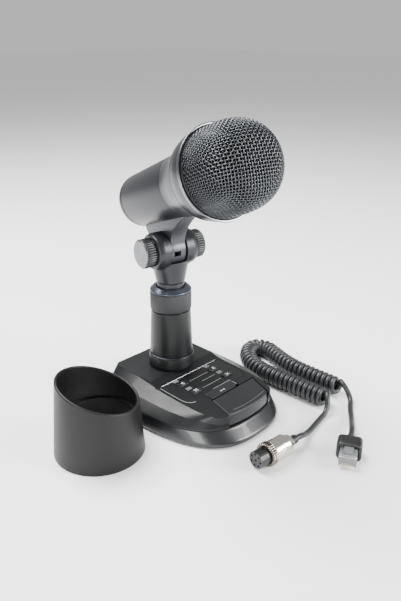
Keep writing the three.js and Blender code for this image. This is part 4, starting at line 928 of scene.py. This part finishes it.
def make_tray():
    """The lower moulding: an upright skirt, sides that lean in to the parting line, and the sloping apron
    ahead of the housing; inside it is a plain dish."""
    def ring(d, z, front_y=TRAY_FRONT_Y):
        return base_ring(52 - d, 40 - d, BASE_REAR_Y - d, front_y + d, 2.8, z)
    rows = [ring(1.1, 0.8), ring(0.6, 0.85), ring(0.2, 1.2), ring(0, 1.8), ring(0, 3.6), ring(0.06, 4.1, -88.7)]
    for t in np.linspace(0, 1, 8)[1:]:
        rows.append(ring(0.06 + 0.14 * t, 4.1 + 6.9 * t, -88.7 + 6.9 * t))
    rows += [ring(0.3, 11.4, -81.6), ring(0.55, 11.7, -81.2), ring(2.2, 11.7, -81), ring(2.4, 11.2, -81),
             ring(2.6, 3.4, -81), ring(3, 3.2, -81)]
    settle(mesh_of("tray_shell", rows), TRAY, "base", ["base_tray"], sharp=40)


def on_top(x, y):
    """Lift for decals and keys that lie on the sloping top."""
    return top_height(np.minimum(y, PANEL_REAR_Y))


def line_on_top(name, points, width, up=0.03, closed=False):
    """A thin printed or moulded line on the top surface, or a band of painted highlight along an edge: a flat
    band of a given width, 0.08 mm thick.
    """
    p = np.asarray(points, float)
    ahead = np.gradient(p, axis=0) if not closed else np.roll(p, -1, 0) - np.roll(p, 1, 0)
    ahead /= np.linalg.norm(ahead, axis=1, keepdims=True)
    side = np.column_stack([-ahead[:, 1], ahead[:, 0]]) * width / 2
    z = on_top(p[:, 0], p[:, 1])
    rows = []
    for s, h in ((-1, -0.2), (-1, up), (-0.7, up + 0.05), (0.7, up + 0.05), (1, up), (1, -0.2)):
        rows.append(np.column_stack([p + side * s, z + h]))
    return mesh_of(name, np.stack(rows, 1), wrap=(True, closed), caps=not closed)


def make_panel():
    """Panel overlay with a pale painted highlight along its left edge, silver strip, windows and the keys with
    generic marks.
    """
    sheet = slab("panel_sheet", panel_outline(0), [(0, -1.4), (0, -0.12), (0.15, 0), (0.3, 0)], height=on_top)
    holes = [slab(f"hole_{key}", round_box(8.8, 5.0, 0.9) + [x, y], [(0, 10), (0, 40)])
             for key, (x, y) in BUTTONS.items()]
    holes.append(slab("hole_lock", box_outline(-14.7, 14.7, -57.1, -47.3), [(0, 14), (0, 60)]))
    settle(carved(sheet, *holes), OVERLAY, "base", ["control_panel"], sharp=30)
    # Painted highlight: a pale grey band along the panel's left edge only, where the edge's lip catches the
    # light.
    trim = line_on_top("panel_outline", panel_outline(-0.1)[:12], 0.35)
    settle(trim, INK_AND_EDGE_HIGHLIGHT, "base")
    strip = slab("panel_bar", box_outline(-29.2, 29.2, -20.0, -18.7),
                 [(0, -1.4), (0, 0.1), (0.2, 0.35)], height=on_top)
    settle(strip, BRIGHT_RIM, "base", ["panel_strip"])
    for key, (x, y) in BUTTONS.items():
        top = slab(f"key_{key}", round_box(8.4, 4.6, 0.8) + [x, y],
                   [(0, -5.4), (0, 0.8), (0.1, 1.0), (0.35, 1.1), (1.2, 1.0)], height=on_top)
        settle(top, KEYS, f"button_{key}", [f"button_{key}"])
        cx, cy = x - 1.2, y + 6.6
        lens = slab(f"lens_{key}", round_box(3.4, 2.0, 0.3) + [cx, cy],
                    [(0, -0.8), (0, 0.1), (0.2, 0.2)], height=on_top)
        settle(lens, WINDOW, "base", [f"window_{key}"])
        frame_line = line_on_top(f"lens_frame_{key}", round_box(4.2, 2.8, 0.4) + [cx, cy], 0.25, closed=True)
        settle(frame_line, INK_AND_EDGE_HIGHLIGHT, "base")
        make_mark(key, x, y)
    for k, y, x0, x1 in ((0, -28.2, -8.6, 10.6), (1, -41.3, -8.2, 11.6), (2, -34.4, -1.5, 12.6)):
        settle(line_on_top(f"link_{k}", [(x0, y), (x1, y)], 0.3), INK_AND_EDGE_HIGHLIGHT, "base")


def make_mark(key, x, y):
    """A generic mark on a key: an arrow head beside a short bar, as on any up or down key."""
    right, near = key.endswith("right"), key.startswith("front")
    way = 1 if right else -1
    lift = 1.02
    if near:
        tip = [(-1.3, 0.9 * way), (0, -0.9 * way), (1.3, 0.9 * way)]
        lines = [tip, [(-1.9, -1.3 * way), (1.9, -1.3 * way)]]
    else:
        a = np.linspace(0.6, 5.7, 16)
        lines = [np.column_stack([1.1 * np.cos(a), 1.1 * np.sin(a)]), [(-0.1, 0.1), (0.5 * way, 0.6)]]
    for k, points in enumerate(lines):
        p = np.asarray(points, float) + [x, y]
        settle(line_on_top(f"mark_{key}_{k}", p, 0.42, lift), INK, f"button_{key}")


def make_keys():
    """Lock key with a painted highlight along its rear and right edge, and the press bar: a flat top with a
    painted highlight arc where its dish would show, a bright rounded lip at the front and an upright face under
    it."""
    outline = np.array([(-14.2, -56.6), (11.2, -56.6), (11.2, -55.0), (14.2, -55.0),
                        (14.2, -47.8), (-14.2, -47.8)])
    key = slab("lock_plate", outline, [(0, -1.6), (0, 0.15), (0.15, 0.3)], height=on_top)
    settle(key, KEYS, "lock_key", ["lock_key"], sharp=10)
    # Painted highlight: a pale grey band along the lock key's rear and right edge, where that edge catches the
    # light.
    edge = line_on_top("lock_edge_painted_highlight", [(-4.2, -47.95), (14.0, -47.95), (14.0, -52), (14.0, -54.9)], 0.4, 0.3)
    settle(edge, INK_AND_EDGE_HIGHLIGHT, "lock_key")
    for k, x in enumerate(np.linspace(-1.9, 1.9, 4)):
        bar = line_on_top(f"lock_mark_{k}", [(x - 0.5, -53.6), (x + 0.5, -53.6)] if k in (1, 2) else
                          [(x, -54.4), (x, -52.8)], 0.42, 0.3)
        settle(bar, INK, "lock_key")
    outline = press_outline(0)
    levels = [(2.0, -9.1), (0.1, -9.1), (0, -8.9), (0, -1.5), (0.08, -0.9), (0.3, -0.35),
              (0.75, 0.02), (1.3, 0.2)]

    def fall(x, y):
        return FRONT_Z + (PANEL_Z - FRONT_Z) / (PANEL_REAR_Y - APRON_Y) * (y - APRON_Y)

    bar = slab("press_plate", outline, levels, height=fall)
    settle(bar, KEYS, "press_bar", ["press_bar"], sharp=8)
    # Painted highlight: a grey arc on the flat top where the ridge of the press bar's dish would catch the
    # light.
    arc = bezier((-15.5, -75.4), (-6, -77.9), (8, -77.9), (20.4, -75.2), 24)
    settle(line_on_top("press_arc_painted_highlight", arc, 0.5, 0.24), PAINTED_RIDGE_HIGHLIGHT, "press_bar")


make_housing()
make_tray()
make_panel()
make_keys()


# ---- Connector and plug --------------------------------------------------------------------

def make_connector():
    """Turned shell with a stepped rear and shallow slots, and a ribbed coupling ring."""
    shell = [(3.75, 0), (5.2, 0), (5.9, 1), (6.3, 3.6), (7.5, 5), (7.5, 18.1), (6.3, 18.1), (6.3, 6), (3.75, 4)]
    body = lathe("plug_shell", shell, "x", ON_CONNECTOR, 0.25, 72)
    cutters = []
    for k in range(4):
        a = math.radians(28 + 90 * k)
        turn = np.array([[1, 0, 0], [0, math.cos(a), -math.sin(a)], [0, math.sin(a), math.cos(a)]])
        cutters.append(slab(f"slot_{k}", round_box(5.2, 1.5, 0.7) + [10.5, 0], [(0, 6.9), (0, 8.4)],
                            (ON_CONNECTOR[0] @ turn, ON_CONNECTOR[1])))
    settle(carved(body, *cutters), NICKEL, "base", ["connector_shell"], sharp=30)
    ribs = fluted(8.3, 0.35, 28)
    rows = []
    for s, d in ((18.4, 1.0), (18.5, 0.4), (18.8, 0), (20.4, 0), (20.6, 0.5), (21.2, 0.5), (21.4, 0), (22.9, 0),
                 (23.3, 0.3), (23.4, 0.8)):
        p = inset(ribs, d)
        rows.append(np.column_stack([np.full(len(p), s), p]))
    for s in (23.2, 18.6):
        p = oval(6.4, 6.4, 0, len(ribs))[:, :2]
        rows.append(np.column_stack([np.full(len(p), s), p]))
    ring = mesh_of("lock_ring", rows, ON_CONNECTOR, wrap=(True, True))
    settle(ring, NICKEL_DARK, "coupling_ring", ["coupling_ring"], sharp=40)


def make_plug():
    """Rounded square frame with a mouth round the plug, and eight gilt contacts under the plug's nose."""
    def along(rows):
        return np.stack([rows[..., 2], rows[..., 0], rows[..., 1]], -1)

    outer, mouth = round_box(17, 13.2, 3.2, 10), round_box(13, 9, 1.6, 10)
    rows = [(outer, 1.4, 4.6), (outer, 0.4, 4.9), (outer, 0, 5.8), (outer, 0, 15.2), (outer, 0.3, 15.8),
            (outer, 0.9, 16), (mouth, -0.3, 16), (mouth, 0, 15.7), (mouth, 0, 8.0)]
    rings = [np.column_stack([inset(line, d), np.full(len(line), s)]) for line, d, s in rows]
    frame_piece = mesh_of("plug_frame", along(np.array(rings)), ON_PLUG)
    settle(frame_piece, NYLON, "base", ["plug_shroud"], sharp=40)
    for k in range(8):
        y = (k - 3.5) * 1.02
        blade = slab(f"contact_{k}", box_outline(y - 0.16, y + 0.16, -3.0, -1.2),
                     [(0, 21.8), (0, 26.8)], ON_PLUG, swap=along)
        settle(blade, GOLD, "base")


make_connector()
make_plug()

NODE_FINISH = {
    "base_housing": HOUSING, "base_tray": TRAY, "control_panel": OVERLAY, "panel_strip": BRIGHT_RIM,
    "lock_key": KEYS, "press_bar": KEYS, "circuit_board": BOARD, "weight_plate": STEEL, "key_mat": RUBBER,
    "modular_jack": NYLON, "press_switch": NYLON, "press_pin": STEEL, "hinge_bolt": STEEL, "capsule": STEEL,
    "connector_shell": NICKEL, "coupling_ring": NICKEL, "connector_insert": NYLON, "connector_boot": NYLON,
    "plug_shroud": NYLON, "plug_relief": NYLON, "modular_plug": CLEAR,
    **{f"button_{p}": KEYS for p in ("rear_left", "rear_right", "front_left", "front_right")},
    **{f"window_{p}": WINDOW for p in ("rear_left", "rear_right", "front_left", "front_right")},
    **{f"foot_{k}": RUBBER for k in (1, 2, 3, 4, "middle")},
}


# ---- Stage ---------------------------------------------------------------------------------

def make_stage():
    """A wide pale floor, one pale surround and soft lamps."""
    floor = mesh_of("floor", [[(-6000, -6000, 0), (6000, -6000, 0)], [(-6000, 6000, 0), (6000, 6000, 0)]],
                    wrap=(False, False), caps=False)
    paper, _, _ = begin("paper_backdrop_white", Roughness=0.9)
    paper.node_tree.nodes["Principled BSDF"].inputs["Base Color"].default_value = linear("FAFAFA")
    floor.data.materials.append(paper)
    world = bpy.data.worlds.new("surround")
    world.use_nodes = True
    world.node_tree.nodes["Background"].inputs["Color"].default_value = linear("FFFFFF")
    world.node_tree.nodes["Background"].inputs["Strength"].default_value = 0.6
    bpy.context.scene.world = world
    lamps = [("lamp_over", (-100, 350, 900), 600, 30), ("lamp_front", (450, -900, 420), 500, 20),
             ("lamp_left", (-900, -350, 260), 400, 7)]
    for name, place, size, power in lamps:
        data = bpy.data.lights.new(name, "AREA")
        data.size, data.energy = size * MM, power
        lamp = bpy.data.objects.new(name, data)
        lamp.location = Vector(place) * MM
        lamp.rotation_euler = (Vector((0, 0, 80)) * MM - lamp.location).to_track_quat("-Z", "Y").to_euler()
        bpy.context.scene.collection.objects.link(lamp)


make_stage()

for node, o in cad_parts.items():
    if not o.hide_render:
        o.data.materials.clear()
        o.data.materials.append(NODE_FINISH.get(node, HOUSING))
